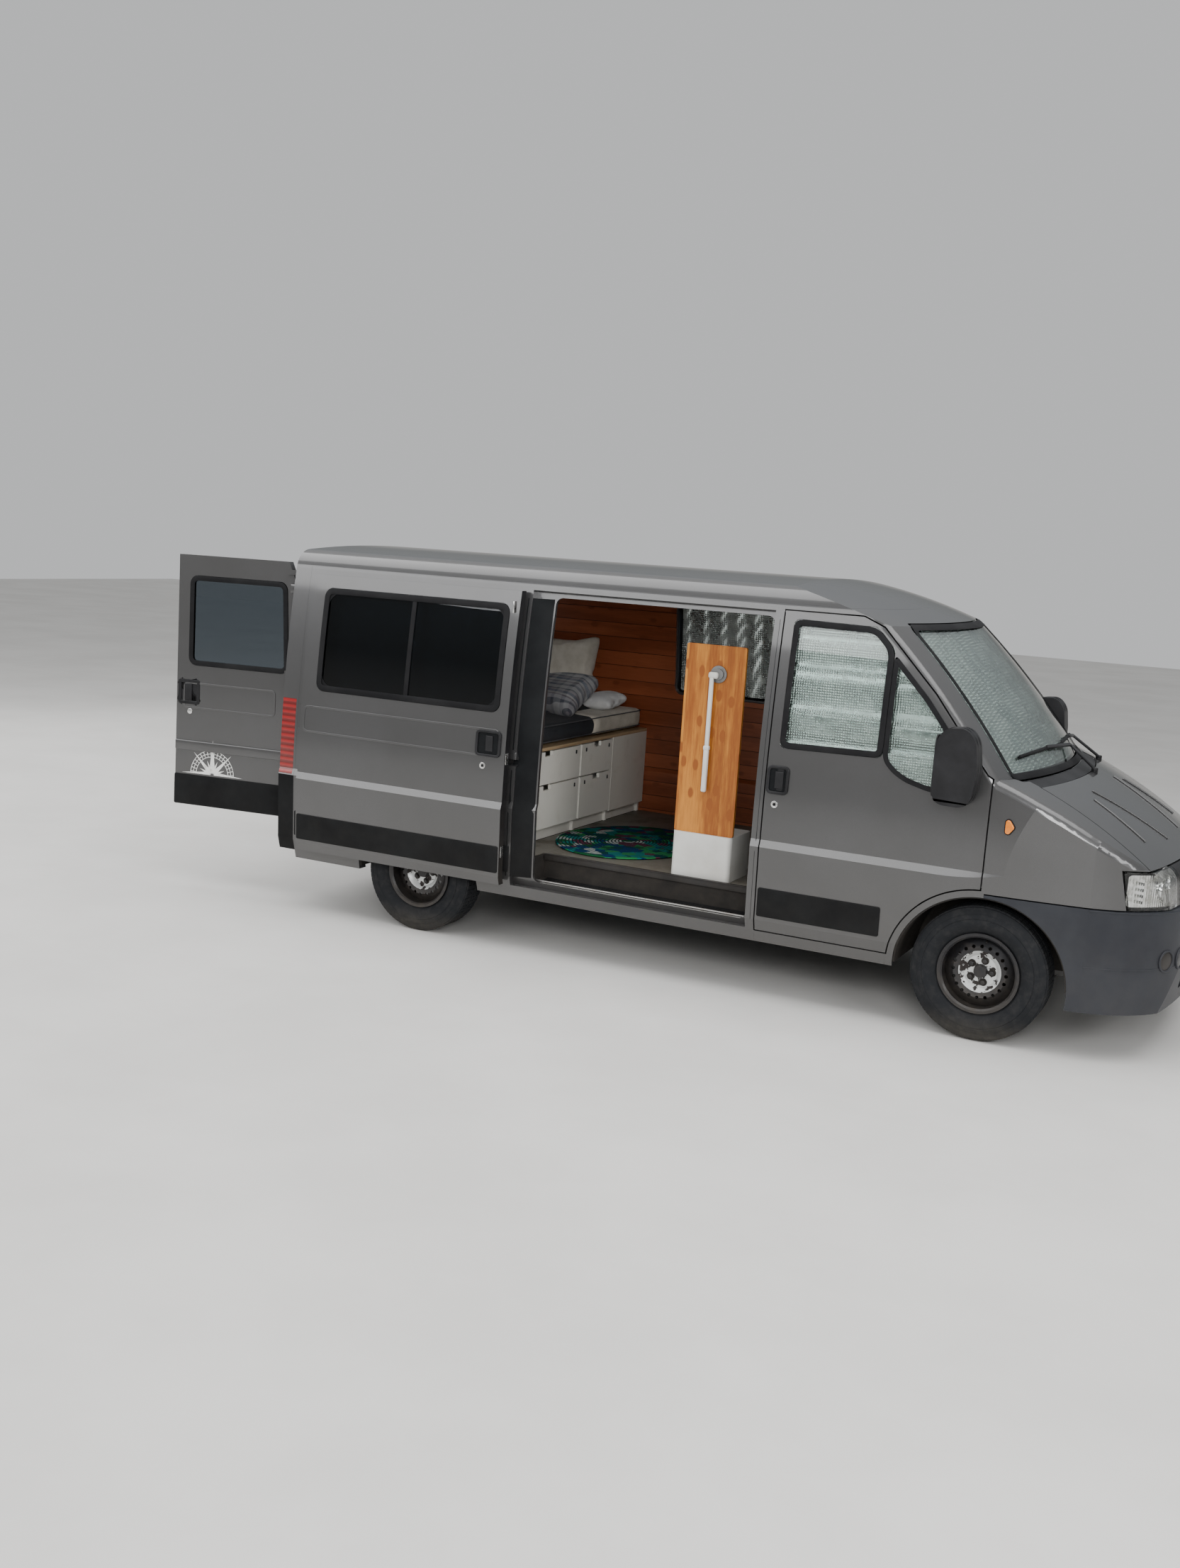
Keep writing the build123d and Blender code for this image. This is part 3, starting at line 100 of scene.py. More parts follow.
bpy.ops.object.select_all(action="DESELECT")
bpy.ops.object.camera_add()
camera = bpy.context.object
camera.name = "photo_camera"
turned = camera_turn(CAMERA_YAW, CAMERA_PITCH, CAMERA_ROLL).to_4x4()
camera.matrix_world = Matrix.Translation(spot(*CAMERA_SPOT)) @ turned
camera.data.sensor_fit = "VERTICAL"
camera.data.sensor_height = SENSOR_HEIGHT_MM
camera.data.lens = CAMERA_FOCAL_PX / FRAME_HEIGHT_PX * SENSOR_HEIGHT_MM
camera.data.shift_x = LENS_SHIFT_PX[0] / FRAME_HEIGHT_PX
camera.data.shift_y = LENS_SHIFT_PX[1] / FRAME_HEIGHT_PX
camera.data.clip_end = 200
bpy.context.scene.camera = camera
print("lens", round(camera.data.lens, 2), "mm")

# %% [markdown]
# ## Floor and light
# The studio is plain: one pale floor, a wide soft light overhead like a cloudy sky, a large light
# on the side that the camera sees, a smaller one that reaches into the doorway, and weak ones
# from the front and the rear. The sky itself is a gentle gradient, because polished paint shows
# nothing but what it reflects.

# %% Floor
FLOOR_SIZE = 60
bpy.ops.object.select_all(action="DESELECT")
bpy.ops.mesh.primitive_plane_add(size=FLOOR_SIZE, location=(0, 0, -0.001))
floor = bpy.context.object
floor.name = "studio_floor"
bpy.ops.object.transform_apply(location=True)
print("floor", FLOOR_SIZE, "m wide")

# %% Lights
AREA_LIGHTS = [
    # name, place, aims at, width, depth, watts
    ("sky_panel", (-2.5, -1.5, 7.5), (-2.5, 0, 1), 19, 6, 1050),
    ("camera_side", (-7.0, -9.5, 5.2), (-3.5, 0, 1.0), 14, 2.6, 520),
    ("doorway_side", (4.2, -8.5, 3.6), (-1.0, 0, 0.9), 3, 2.2, 300),
    ("front_side", (9.5, -4.5, 4.2), (1.5, 0, 1), 5, 2.4, 260),
    ("rear_fill", (-9.5, 3.5, 4.0), (-1.5, 0, 1), 5, 2.4, 130),
]
for name, place, target, width, depth, watts in AREA_LIGHTS:
    bpy.ops.object.select_all(action="DESELECT")
    bpy.ops.object.light_add(type="AREA", location=place)
    lamp = bpy.context.object
    lamp.name = name
    lamp.data.shape = "RECTANGLE"
    lamp.data.size = width
    lamp.data.size_y = depth
    lamp.data.energy = watts
    lamp.rotation_euler = (Vector(target) - Vector(place)).to_track_quat("-Z", "Y").to_euler()


def fill_ramp(ramp_node, steps):
    """Give a colour ramp the places and colours of a table."""
    elements = ramp_node.color_ramp.elements
    while len(elements) < len(steps):
        elements.new(0.5)
    for element, (position, colour) in zip(elements, steps):
        element.position = position
        element.color = (*colour, 1)


SKY_STRENGTH = 0.75
BACKDROP_COLOUR = (0.80, 0.81, 0.82, 1)
SKY_STEPS = [
    # height, brightness
    (0.0, (0.56, 0.55, 0.53)),
    (0.09, (0.26, 0.27, 0.27)),
    (0.35, (0.42, 0.44, 0.46)),
    (0.8, (1.0, 1.0, 1.0)),
]
world = bpy.data.worlds.new("studio_sky")
bpy.context.scene.world = world
world.use_nodes = True
sky = world.node_tree
direction = sky.nodes.new("ShaderNodeTexCoord")
height = sky.nodes.new("ShaderNodeSeparateXYZ")
gradient = sky.nodes.new("ShaderNodeValToRGB")
fill_ramp(gradient, SKY_STEPS)
seen = sky.nodes.new("ShaderNodeLightPath")
backdrop = sky.nodes.new("ShaderNodeMix")
backdrop.data_type = "RGBA"
background = sky.nodes["Background"]
background.inputs["Strength"].default_value = SKY_STRENGTH
sky.links.new(direction.outputs["Generated"], height.inputs["Vector"])
sky.links.new(height.outputs["Z"], gradient.inputs["Fac"])
sky.links.new(seen.outputs["Is Camera Ray"], backdrop.inputs["Factor"])
colour_inputs = [socket for socket in backdrop.inputs if socket.type == "RGBA"]
sky.links.new(gradient.outputs["Color"], colour_inputs[0])
colour_inputs[1].default_value = BACKDROP_COLOUR
colour_output = [socket for socket in backdrop.outputs if socket.type == "RGBA"][0]
sky.links.new(colour_output, background.inputs["Color"])
print(len(AREA_LIGHTS), "lights and a sky")

# %% [markdown]
# ## Finishes: how a material is put together
# Each finish is one material with one Principled shader. What changes over a surface (dust,
# grain, planks, weave) comes from node groups that are built once and used in many materials.
# Every pattern reads Object coordinates: all the meshes share one frame, so a pattern keeps the
# same scale on each of them and doesn't need a UV map.

# %% Helpers for node trees


def add_node(tree, kind, **settings):
    """A new node with some of its settings changed."""
    made = tree.nodes.new("ShaderNode" + kind)
    for key, value in settings.items():
        setattr(made, key, value)
    return made


def feed(tree, source, *targets):
    """Link one output to one or more inputs."""
    for target in targets:
        tree.links.new(source, target)


def put(tree, value, socket):
    """Give an input a plain number, a colour, or a link from another node."""
    if isinstance(value, bpy.types.NodeSocket):
        tree.links.new(value, socket)
    elif socket.type == "RGBA":
        socket.default_value = (*value, 1)
    else:
        socket.default_value = value


def number(tree, operation, first, second, clamp=False):
    """A Math node on two inputs, each a socket or a plain number."""
    made = add_node(tree, "Math", operation=operation, use_clamp=clamp)
    put(tree, first, made.inputs[0])
    put(tree, second, made.inputs[1])
    return made.outputs[0]


def vector_math(tree, operation, first, second):
    """A Vector Math node on two inputs, each a socket or three numbers."""
    made = add_node(tree, "VectorMath", operation=operation)
    put(tree, first, made.inputs[0])
    put(tree, second, made.inputs[1])
    return made.outputs


def between(tree, value, low, high, out_low=0.0, out_high=1.0):
    """A smooth step of a value from low to high."""
    made = add_node(tree, "MapRange", interpolation_type="SMOOTHSTEP")
    for label, item in (("Value", value), ("From Min", low), ("From Max", high), ("To Min", out_low),
                        ("To Max", out_high)):
        put(tree, item, made.inputs[label])
    return made.outputs["Result"]


def mixed(tree, factor, first, second):
    """A colour between two colours, each a socket or an (r, g, b) of its own."""
    made = add_node(tree, "Mix", data_type="RGBA")
    put(tree, factor, made.inputs["Factor"])
    for socket, value in zip([s for s in made.inputs if s.type == "RGBA"], (first, second)):
        put(tree, value, socket)
    return [s for s in made.outputs if s.type == "RGBA"][0]


def texture(tree, kind, vector, inputs, **settings):
    """A texture node that reads a vector, with the named inputs set or linked."""
    made = add_node(tree, kind, **settings)
    feed(tree, vector, made.inputs["Vector"])
    for label, value in inputs.items():
        put(tree, value, made.inputs[label])
    return made


def noise(tree, vector, scale, detail=3.0, rough=0.5):
    """A noise value over the surface."""
    inputs = {"Scale": scale, "Detail": detail, "Roughness": rough}
    return texture(tree, "TexNoise", vector, inputs).outputs["Fac"]


def object_place(tree):
    """Object coordinates as a vector."""
    return add_node(tree, "TexCoord").outputs["Object"]


def coordinates(tree, vector):
    """The three numbers of a vector."""
    split = add_node(tree, "SeparateXYZ")
    feed(tree, vector, split.inputs[0])
    return split.outputs


SOCKET_KINDS = {"value": "NodeSocketFloat", "colour": "NodeSocketColor", "vector": "NodeSocketVector"}


def new_group(name, inputs, outputs):
    """An empty node group with named inputs and outputs; returns its tree and its two end nodes."""
    tree = bpy.data.node_groups.new(name, "ShaderNodeTree")
    for label, kind, default in inputs:
        socket = tree.interface.new_socket(label, in_out="INPUT", socket_type=SOCKET_KINDS[kind])
        socket.default_value = (*default, 1) if kind == "colour" else default
    for label, kind in outputs:
        tree.interface.new_socket(label, in_out="OUTPUT", socket_type=SOCKET_KINDS[kind])
    return tree, tree.nodes.new("NodeGroupInput"), tree.nodes.new("NodeGroupOutput")


print("node helpers ready")

# %% [markdown]
# ### Effects that many finishes share
# Dust gathers low on a van and in no fixed pattern, so it is a fade over height broken up by
# noise. Worn edges are found with the Bevel node: where the rounded normal differs from the true
# one there is an edge. Moulded plastic has a fine pebble grain. Wood has long fibres, which is
# noise stretched along the board. Cloth has crossing threads, which are two sets of waves.

# %% Dust
dust_group, dust_in, dust_out = new_group(
    "road_dust",
    [("Colour", "colour", (0.5, 0.5, 0.5)), ("Dust Colour", "colour", (0.30, 0.25, 0.19)),
     ("Amount", "value", 0.5), ("Low", "value", 0.1), ("High", "value", 1.2), ("Scale", "value", 9.0)],
    [("Colour", "colour"), ("Mask", "value")],
)
dust_place = object_place(dust_group)
low_down = between(dust_group, coordinates(dust_group, dust_place)["Z"], dust_in.outputs["High"],
                   dust_in.outputs["Low"])
blotches = between(dust_group, noise(dust_group, dust_place, dust_in.outputs["Scale"], 5, 0.6),
                   0.25, 0.8, 0.45, 1.0)
dust_mask = number(dust_group, "MULTIPLY", number(dust_group, "MULTIPLY", low_down, blotches),
                   dust_in.outputs["Amount"], clamp=True)
feed(dust_group, mixed(dust_group, dust_mask, dust_in.outputs["Colour"], dust_in.outputs["Dust Colour"]),
     dust_out.inputs["Colour"])
feed(dust_group, dust_mask, dust_out.inputs["Mask"])
print("group", dust_group.name)

# %% Worn edges
wear_group, wear_in, wear_out = new_group(
    "worn_edges", [("Radius", "value", 0.004), ("Amount", "value", 1.0)], [("Mask", "value")])
rounded = add_node(wear_group, "Bevel", samples=2)
true_normal = add_node(wear_group, "NewGeometry")
feed(wear_group, wear_in.outputs["Radius"], rounded.inputs["Radius"])
facing = vector_math(wear_group, "DOT_PRODUCT", rounded.outputs["Normal"], true_normal.outputs["Normal"])
edge_line = between(wear_group, facing["Value"], 0.985, 0.86)
broken = between(wear_group, noise(wear_group, object_place(wear_group), 38, 5, 0.6), 0.42, 0.6)
feed(wear_group, number(wear_group, "MULTIPLY", number(wear_group, "MULTIPLY", edge_line, broken),
                        wear_in.outputs["Amount"], clamp=True), wear_out.inputs["Mask"])
print("group", wear_group.name)

# %% Moulded grain
grain_group, grain_in, grain_out = new_group(
    "moulded_grain", [("Scale", "value", 700.0)], [("Height", "value"), ("Shade", "value")])
grain_place = object_place(grain_group)
pebbles = texture(grain_group, "TexVoronoi", grain_place, {"Scale": grain_in.outputs["Scale"]},
                  feature="SMOOTH_F1")
feed(grain_group, pebbles.outputs["Distance"], grain_out.inputs["Height"])
feed(grain_group, between(grain_group, noise(grain_group, grain_place, 4.0, 6, 0.62), 0.3, 0.72),
     grain_out.inputs["Shade"])
print("group", grain_group.name)

# %% Wood grain
wood_group, wood_in, wood_out = new_group(
    "wood_grain",
    [("Position", "vector", (0, 0, 0)), ("Light", "colour", (0.7, 0.5, 0.3)),
     ("Dark", "colour", (0.4, 0.22, 0.1)), ("Stretch", "vector", (1, 12, 12)), ("Knots", "value", 0.5)],
    [("Colour", "colour"), ("Height", "value")],
)
stretched = vector_math(wood_group, "MULTIPLY", wood_in.outputs["Position"], wood_in.outputs["Stretch"])[0]
fibres = noise(wood_group, stretched, 9.0, 9, 0.62)
bands = texture(wood_group, "TexWave", stretched, {"Scale": 0.55, "Distortion": 7.0, "Detail": 3.0},
                wave_type="RINGS", rings_direction="X")
squeeze = vector_math(wood_group, "POWER", wood_in.outputs["Stretch"], (0.25, 0.25, 0.25))[0]
knot_place = vector_math(wood_group, "MULTIPLY", wood_in.outputs["Position"], squeeze)[0]
knot_split = coordinates(wood_group, knot_place)
knot_face = add_node(wood_group, "CombineXYZ")
feed(wood_group, knot_split["X"], knot_face.inputs[0])
feed(wood_group, knot_split["Z"], knot_face.inputs[1])
knot_cells = texture(wood_group, "TexVoronoi", knot_face.outputs[0], {"Scale": 4.4}, voronoi_dimensions="2D")
knot = number(wood_group, "MULTIPLY", between(wood_group, knot_cells.outputs["Distance"], 0.16, 0.04),
              wood_in.outputs["Knots"])
figure = number(wood_group, "ADD", number(wood_group, "MULTIPLY", fibres, 0.75),
                number(wood_group, "MULTIPLY", bands.outputs["Fac"], 0.38))
darkness = number(wood_group, "ADD", between(wood_group, figure, 0.25, 0.85), knot, clamp=True)
feed(wood_group, mixed(wood_group, darkness, wood_in.outputs["Light"], wood_in.outputs["Dark"]),
     wood_out.inputs["Colour"])
feed(wood_group, fibres, wood_out.inputs["Height"])
print("group", wood_group.name)

# %% Woven cloth
weave_group, weave_in, weave_out = new_group(
    "woven_threads",
    [("Position", "vector", (0, 0, 0)), ("Threads", "value", 900.0)],
    [("Height", "value"), ("Shade", "value")],
)
heights = []
for axis in ("X", "Y", "Z"):
    threads = texture(weave_group, "TexWave", weave_in.outputs["Position"],
                      {"Scale": weave_in.outputs["Threads"], "Distortion": 0.6}, wave_type="BANDS",
                      bands_direction=axis)
    heights.append(threads.outputs["Fac"])
crossing = number(weave_group, "MULTIPLY", number(weave_group, "ADD", heights[0], heights[1]), heights[2])
feed(weave_group, crossing, weave_out.inputs["Height"])
feed(weave_group, between(weave_group, noise(weave_group, weave_in.outputs["Position"], 14, 5, 0.6),
                          0.3, 0.7), weave_out.inputs["Shade"])
print("group", weave_group.name)

# %% [markdown]
# ### A material from a few lines
# `finish` makes a material with one shader and sets what is the same all over on the shader's
# own sockets. The cells after it add the groups that each finish needs, and `roughen` puts a
# height through a Bump node.

# %% Material helpers


finishes = {}


def finish(name, colour, rough, **sockets):
    """A material with plain values on its Principled shader; returns its tree and shader."""
    material = bpy.data.materials.new(name)
    finishes[name] = material
    material.use_nodes = True
    shader = material.node_tree.nodes["Principled BSDF"]
    shader.inputs["Base Color"].default_value = (*colour, 1)
    shader.inputs["Roughness"].default_value = rough
    for label, value in sockets.items():
        shader.inputs[label.replace("_", " ").title().replace("Ior", "IOR")].default_value = value
    return material.node_tree, shader


def group_node(tree, group, **values):
    """A node group placed in a material with its own values."""
    placed = add_node(tree, "Group", node_tree=group)
    for label, value in values.items():
        put(tree, value, placed.inputs[label.replace("_", " ").title()])
    return placed


def surface(tree, shader, colour, rough=None):
    """Link what changes over the surface into the shader's colour and roughness."""
    feed(tree, colour, shader.inputs["Base Color"])
    if rough:
        feed(tree, rough, shader.inputs["Roughness"])


def roughen(tree, shader, height, strength, depth):
    """A height over the surface, through Bump, into the shader's normal."""
    bump = add_node(tree, "Bump")
    bump.inputs["Strength"].default_value = strength
    bump.inputs["Distance"].default_value = depth
    feed(tree, height, bump.inputs["Height"])
    feed(tree, bump.outputs["Normal"], shader.inputs["Normal"])


print("material helpers ready")

# %% [markdown]
# ### Paint
# The van is a dark warm grey metallic under clear coat. Metallic paint is a dull metal flake
# under a sharp varnish, so the shader is half metal with a rough base and a smooth coat.
# The flakes vary the colour a little, the varnish has a faint orange peel, and road dust
# lies on the lower half.

# %% Body paint
tree, shader = finish("body_paint", (0.1, 0.1, 0.1), 0.36, metallic=0.6, coat_weight=1.0,
                      coat_roughness=0.07, coat_ior=1.5)
where = object_place(tree)
flakes = between(tree, noise(tree, where, 1600, 2), 0.35, 0.65)
mottling_and_crease_light = between(tree, noise(tree, where, 1.7, 4, 0.6), 0.3, 0.7)
flake_colour = mixed(tree, flakes, (0.054, 0.054, 0.056), (0.098, 0.097, 0.098))
tone = mixed(tree, number(tree, "MULTIPLY", mottling_and_crease_light, 0.5), flake_colour, (0.060, 0.059, 0.058))
dusty = group_node(tree, dust_group, colour=tone, dust_colour=(0.20, 0.18, 0.15), amount=0.11, low=0.25,
                   high=1.0, scale=5.0)
surface(tree, shader, dusty.outputs["Colour"], between(tree, dusty.outputs["Mask"], 0.0, 0.5, 0.34, 0.62))
feed(tree, between(tree, dusty.outputs["Mask"], 0.0, 0.5, 1.0, 0.35), shader.inputs["Coat Weight"])
roughen(tree, shader, noise(tree, where, 95, 2), 0.05, 0.0006)
print("paint ready")

# %% [markdown]
# ### Plastics and rubber
# Bumpers and rub strips are grained plastic that has gone grey and chalky outdoors. Small black
# trim is the same with a finer grain. Rubber seals are softer and darker, with dust in them.

# %% Plastics and rubber
PLASTICS = [
    # name, dark tone, faded tone, roughness, grain scale, grain depth, dust, edge wear
    ("bumper_plastic", (0.021, 0.023, 0.029), (0.029, 0.032, 0.039), 0.44, 620, 0.0004, 0.05, 0.3),
    ("black_plastic", (0.010, 0.010, 0.011), (0.022, 0.022, 0.024), 0.36, 900, 0.0003, 0.12, 0.3),
    ("strip_plastic", (0.006, 0.0065, 0.0075), (0.011, 0.012, 0.013), 0.45, 800, 0.0003, 0.03, 0.2),
    ("rubber_seal", (0.008, 0.008, 0.009), (0.016, 0.016, 0.017), 0.5, 1200, 0.0002, 0.10, 0.0),
    ("underbody", (0.008, 0.008, 0.009), (0.017, 0.016, 0.016), 0.75, 160, 0.0012, 0.12, 0.0),
    ("dash_plastic", (0.020, 0.022, 0.026), (0.038, 0.040, 0.046), 0.6, 1000, 0.0003, 0.2, 0.2),
    ("white_plastic", (0.70, 0.70, 0.67), (0.58, 0.57, 0.53), 0.38, 500, 0.0002, 0.2, 0.2),
]
FINISH_GLOSS = {"white_plastic": 0.5, "strip_plastic": 0.08, "rubber_seal": 0.10}
for name, dark, faded, rough, grain_scale, grain_depth, dust, wear in PLASTICS:
    tree, shader = finish(name, dark, rough, specular_ior_level=FINISH_GLOSS.get(name, 0.22))
    pebble = group_node(tree, grain_group, scale=grain_scale)
    tone = mixed(tree, pebble.outputs["Shade"], dark, faded)
    if wear:
        scuffed = group_node(tree, wear_group, radius=0.003, amount=wear)
        tone = mixed(tree, scuffed.outputs["Mask"], tone, tuple(min(1.0, 2.2 * c + 0.02) for c in faded))
    dusty = group_node(tree, dust_group, colour=tone, amount=dust, low=0.1, high=1.1, scale=11.0)
    surface(tree, shader, dusty.outputs["Colour"], between(tree, dusty.outputs["Mask"], 0.0, 0.6, rough, 0.9))
    roughen(tree, shader, pebble.outputs["Height"], 0.5, grain_depth)
print(len(PLASTICS), "plastics")

# %% [markdown]
# ### Glass and lenses
# Window glass is tinted in the mass and perfectly smooth, and a film of dust shows low on it.
# Glass keeps a plain metallic and transmission value, so only its colour and roughness vary.

# %% Glass
GLASSES = [
    # name, tint, dusty tint
    ("window_glass", (0.12, 0.15, 0.18), (0.18, 0.20, 0.20)),
    ("clear_glass", (0.80, 0.86, 0.84), (0.78, 0.80, 0.76)),
    ("lamp_glass", (0.94, 0.95, 0.95), (0.85, 0.84, 0.80)),
]
for name, tint, dusty_tint in GLASSES:
    tree, shader = finish(name, tint, 0.0, transmission_weight=1.0, ior=1.45)
    film = group_node(tree, dust_group, colour=tint, dust_colour=dusty_tint, amount=0.5, low=0.5, high=2.0,
                      scale=5.0)
    surface(tree, shader, film.outputs["Colour"], between(tree, film.outputs["Mask"], 0.1, 0.6, 0.0, 0.06))

tree, shader = finish("tail_lamp_red", (0.25, 0.006, 0.008), 0.25, coat_weight=0.3, coat_roughness=0.1)
where = object_place(tree)
ribs = texture(tree, "TexWave", where, {"Scale": 9.0}, wave_type="BANDS", bands_direction="Z",
               wave_profile="SIN")
# The red is lighter on the rib crests and darker between them: painted highlight and shade on the ribs, which
# are also a bump.
rib_light_and_shade = mixed(tree, between(tree, ribs.outputs["Fac"], 0.2, 0.9), (0.13, 0.003, 0.004), (0.30, 0.008, 0.010))
dusty = group_node(tree, dust_group, colour=rib_light_and_shade, amount=0.1, low=0.6, high=1.5, scale=14.0)
feed(tree, dusty.outputs["Colour"], shader.inputs["Base Color"])
roughen(tree, shader, ribs.outputs["Fac"], 0.3, 0.003)
print("glass and lenses")

# %% [markdown]
# ### Metals
# Painted steel wheels are black with rust and dust, the exhaust is dull steel with heat stains,
# and castings are rough grey.

# %% Metals
METALS = [
    # name, base, stain, metallic, roughness, stain scale, bump scale, bump depth, edge wear
    ("wheel_steel", (0.012, 0.012, 0.014), (0.028, 0.024, 0.022), 0.2, 0.38, 16, 60, 0.0005, 0.4),
    ("bare_steel", (0.42, 0.41, 0.39), (0.22, 0.14, 0.09), 0.9, 0.38, 7, 220, 0.0003, 0.3),
    ("cast_metal", (0.20, 0.20, 0.20), (0.10, 0.085, 0.07), 0.8, 0.55, 12, 90, 0.0010, 0.3),
    ("bright_metal", (0.72, 0.72, 0.71), (0.45, 0.44, 0.42), 1.0, 0.24, 30, 400, 0.0001, 0.0),
    ("alloy_sill", (0.55, 0.54, 0.52), (0.30, 0.27, 0.23), 0.9, 0.42, 18, 300, 0.0002, 0.3),
]
for name, base, stain, metallic, rough, stain_scale, bump_scale, bump_depth, wear in METALS:
    tree, shader = finish(name, base, rough, metallic=metallic)
    where = object_place(tree)
    stains = between(tree, noise(tree, where, stain_scale, 7, 0.65), 0.45, 0.72)
    tone = mixed(tree, stains, base, stain)
    if wear:
        scuffed = group_node(tree, wear_group, radius=0.003, amount=wear)
        tone = mixed(tree, scuffed.outputs["Mask"], tone, tuple(min(1.0, 1.8 * c + 0.03) for c in stain))
    dusty = group_node(tree, dust_group, colour=tone, amount=0.15, low=0.0, high=0.5, scale=20.0)
    surface(tree, shader, dusty.outputs["Colour"],
            between(tree, stains, 0.0, 1.0, rough, min(0.9, rough + 0.25)))
    roughen(tree, shader, noise(tree, where, bump_scale, 3), 0.4, bump_depth)
print(len(METALS), "metals")

# %% [markdown]
# ### Wood and boards
# The walls behind the bed are lined with narrow varnished boards of a reddish softwood, each a
# little different. The table is a pine board glued from staves. Drawers are white faced board,
# and the bed box is plywood. Planks are cut across by a fine dark gap, which is a bump as well.

# %% Boards
BOARDS = [
    # name, light, dark, axis along the fibres, axis across the boards, board width, gloss, knots, gap, spread
    ("lining_wood", (0.33, 0.094, 0.038), (0.20, 0.052, 0.020), "X", "Z", 0.092, 0.30, 0.9, 1.0, 0.3),
    ("pine", (0.64, 0.265, 0.042), (0.27, 0.078, 0.012), "Z", "X", 0.118, 0.40, 1.6, 0.12, 0.25),
    ("bed_board", (0.58, 0.41, 0.24), (0.40, 0.25, 0.12), "X", "Z", 0.5, 0.5, 0.2, 1.0, 0.3),
]
BOARD_SHIFT = 3.7
FIBRE_STRETCH = 11.0
for name, light, dark, along, across, width, rough, knots, gap_depth, spread in BOARDS:
    tree, shader = finish(name, light, rough, coat_weight=0.12, coat_roughness=0.18, specular_ior_level=0.3)
    where = object_place(tree)
    split = coordinates(tree, where)
    stretch = tuple(1.0 if axis == along else FIBRE_STRETCH for axis in "XYZ")
    index = number(tree, "FLOOR", number(tree, "DIVIDE", split[across], width), 0)
    share = number(tree, "FRACT", number(tree, "DIVIDE", split[across], width), 0)
    shift = add_node(tree, "CombineXYZ")
    feed(tree, number(tree, "MULTIPLY", index, BOARD_SHIFT), shift.inputs[0], shift.inputs[1])
    moved = vector_math(tree, "ADD", where, shift.outputs[0])[0]
    grain = group_node(tree, wood_group, position=moved, light=light, dark=dark, stretch=stretch, knots=knots)
    lottery = add_node(tree, "TexWhiteNoise", noise_dimensions="1D")
    feed(tree, index, lottery.inputs["W"])
    luck = between(tree, lottery.outputs["Value"], 0.0, 1.0, 0.0, spread)
    uneven = mixed(tree, luck, grain.outputs["Colour"], dark)
    edge = number(tree, "MINIMUM", share, number(tree, "SUBTRACT", 1, share))
    gap = between(tree, edge, 0.012, 0.03, 1 - gap_depth, 1.0)
    feed(tree, mixed(tree, gap, tuple(c * 0.25 for c in dark), uneven), shader.inputs["Base Color"])
    profile = number(tree, "ADD", number(tree, "MULTIPLY", gap, 0.8),
                     number(tree, "MULTIPLY", grain.outputs["Height"], 0.15))
    roughen(tree, shader, profile, 0.6, 0.002)

BOX_TOP = 1.062
for name in ("white_board", "bed_box"):
    tree, shader = finish(name, (0.72, 0.70, 0.64), 0.42)
    where = object_place(tree)
    scuffs = between(tree, noise(tree, where, 6, 7, 0.7), 0.5, 0.8)
    if name == "white_board":
        scuffed = group_node(tree, wear_group, radius=0.0025, amount=0.6)
        faced = mixed(tree, scuffs, (0.74, 0.72, 0.66), (0.62, 0.59, 0.52))
        tone = mixed(tree, scuffed.outputs["Mask"], faced, (0.42, 0.36, 0.28))
    else:
        faced = mixed(tree, scuffs, (0.70, 0.68, 0.62), (0.58, 0.55, 0.48))
        ply = group_node(tree, wood_group, position=where, light=(0.50, 0.37, 0.22), dark=(0.34, 0.22, 0.12),
                         stretch=(FIBRE_STRETCH, 1.0, FIBRE_STRETCH), knots=0.1)
        on_top = between(tree, coordinates(tree, where)["Z"], BOX_TOP - 0.0005, BOX_TOP + 0.0005)
        tone = mixed(tree, on_top, faced, ply.outputs["Colour"])
    surface(tree, shader, tone, between(tree, scuffs, 0, 1, 0.36, 0.55))
    roughen(tree, shader, noise(tree, where, 240, 2), 0.15, 0.0003)

tree, shader = finish("vinyl", (0.14, 0.13, 0.11), 0.5, specular_ior_level=0.3)
where = object_place(tree)
speckle = between(tree, noise(tree, where, 260, 2), 0.45, 0.6)
trodden = between(tree, noise(tree, where, 3.5, 6, 0.65), 0.4, 0.75)
tone = mixed(tree, speckle, (0.150, 0.140, 0.118), (0.115, 0.107, 0.090))
surface(tree, shader, mixed(tree, trodden, tone, (0.100, 0.086, 0.066)),
        between(tree, trodden, 0, 1, 0.42, 0.7))
roughen(tree, shader, noise(tree, where, 330, 3), 0.3, 0.0005)
print("boards and vinyl")

# %% [markdown]
# ### Tyre rubber
# Old tyres are dark grey rather than black, with pale dust on the shoulders and in the grooves.

# %% Tyre rubber
tree, shader = finish("tyre", (0.022, 0.022, 0.023), 0.8, specular_ior_level=0.2)
where = object_place(tree)
pale = between(tree, noise(tree, where, 22, 7, 0.7), 0.42, 0.7)
tone = mixed(tree, pale, (0.012, 0.013, 0.015), (0.022, 0.022, 0.023))
dusty = group_node(tree, dust_group, colour=tone, dust_colour=(0.17, 0.15, 0.12), amount=0.30, low=0.0,
                   high=0.16, scale=24.0)
feed(tree, dusty.outputs["Colour"], shader.inputs["Base Color"])
roughen(tree, shader, noise(tree, where, 500, 3), 0.4, 0.0006)
print("tyre rubber")

# %% [markdown]
# ### Floor finish
# The studio floor is pale and nearly plain, with a faint cloudiness so that it isn't dead flat.

# %% Studio floor
tree, shader = finish("studio_floor", (0.62, 0.61, 0.59), 0.85)
where = object_place(tree)
feed(tree, mixed(tree, between(tree, noise(tree, where, 0.8, 5, 0.6), 0.3, 0.7), (0.60, 0.59, 0.57),
                 (0.66, 0.65, 0.63)), shader.inputs["Base Color"])
floor.data.materials.append(finishes["studio_floor"])
print("floor finish")

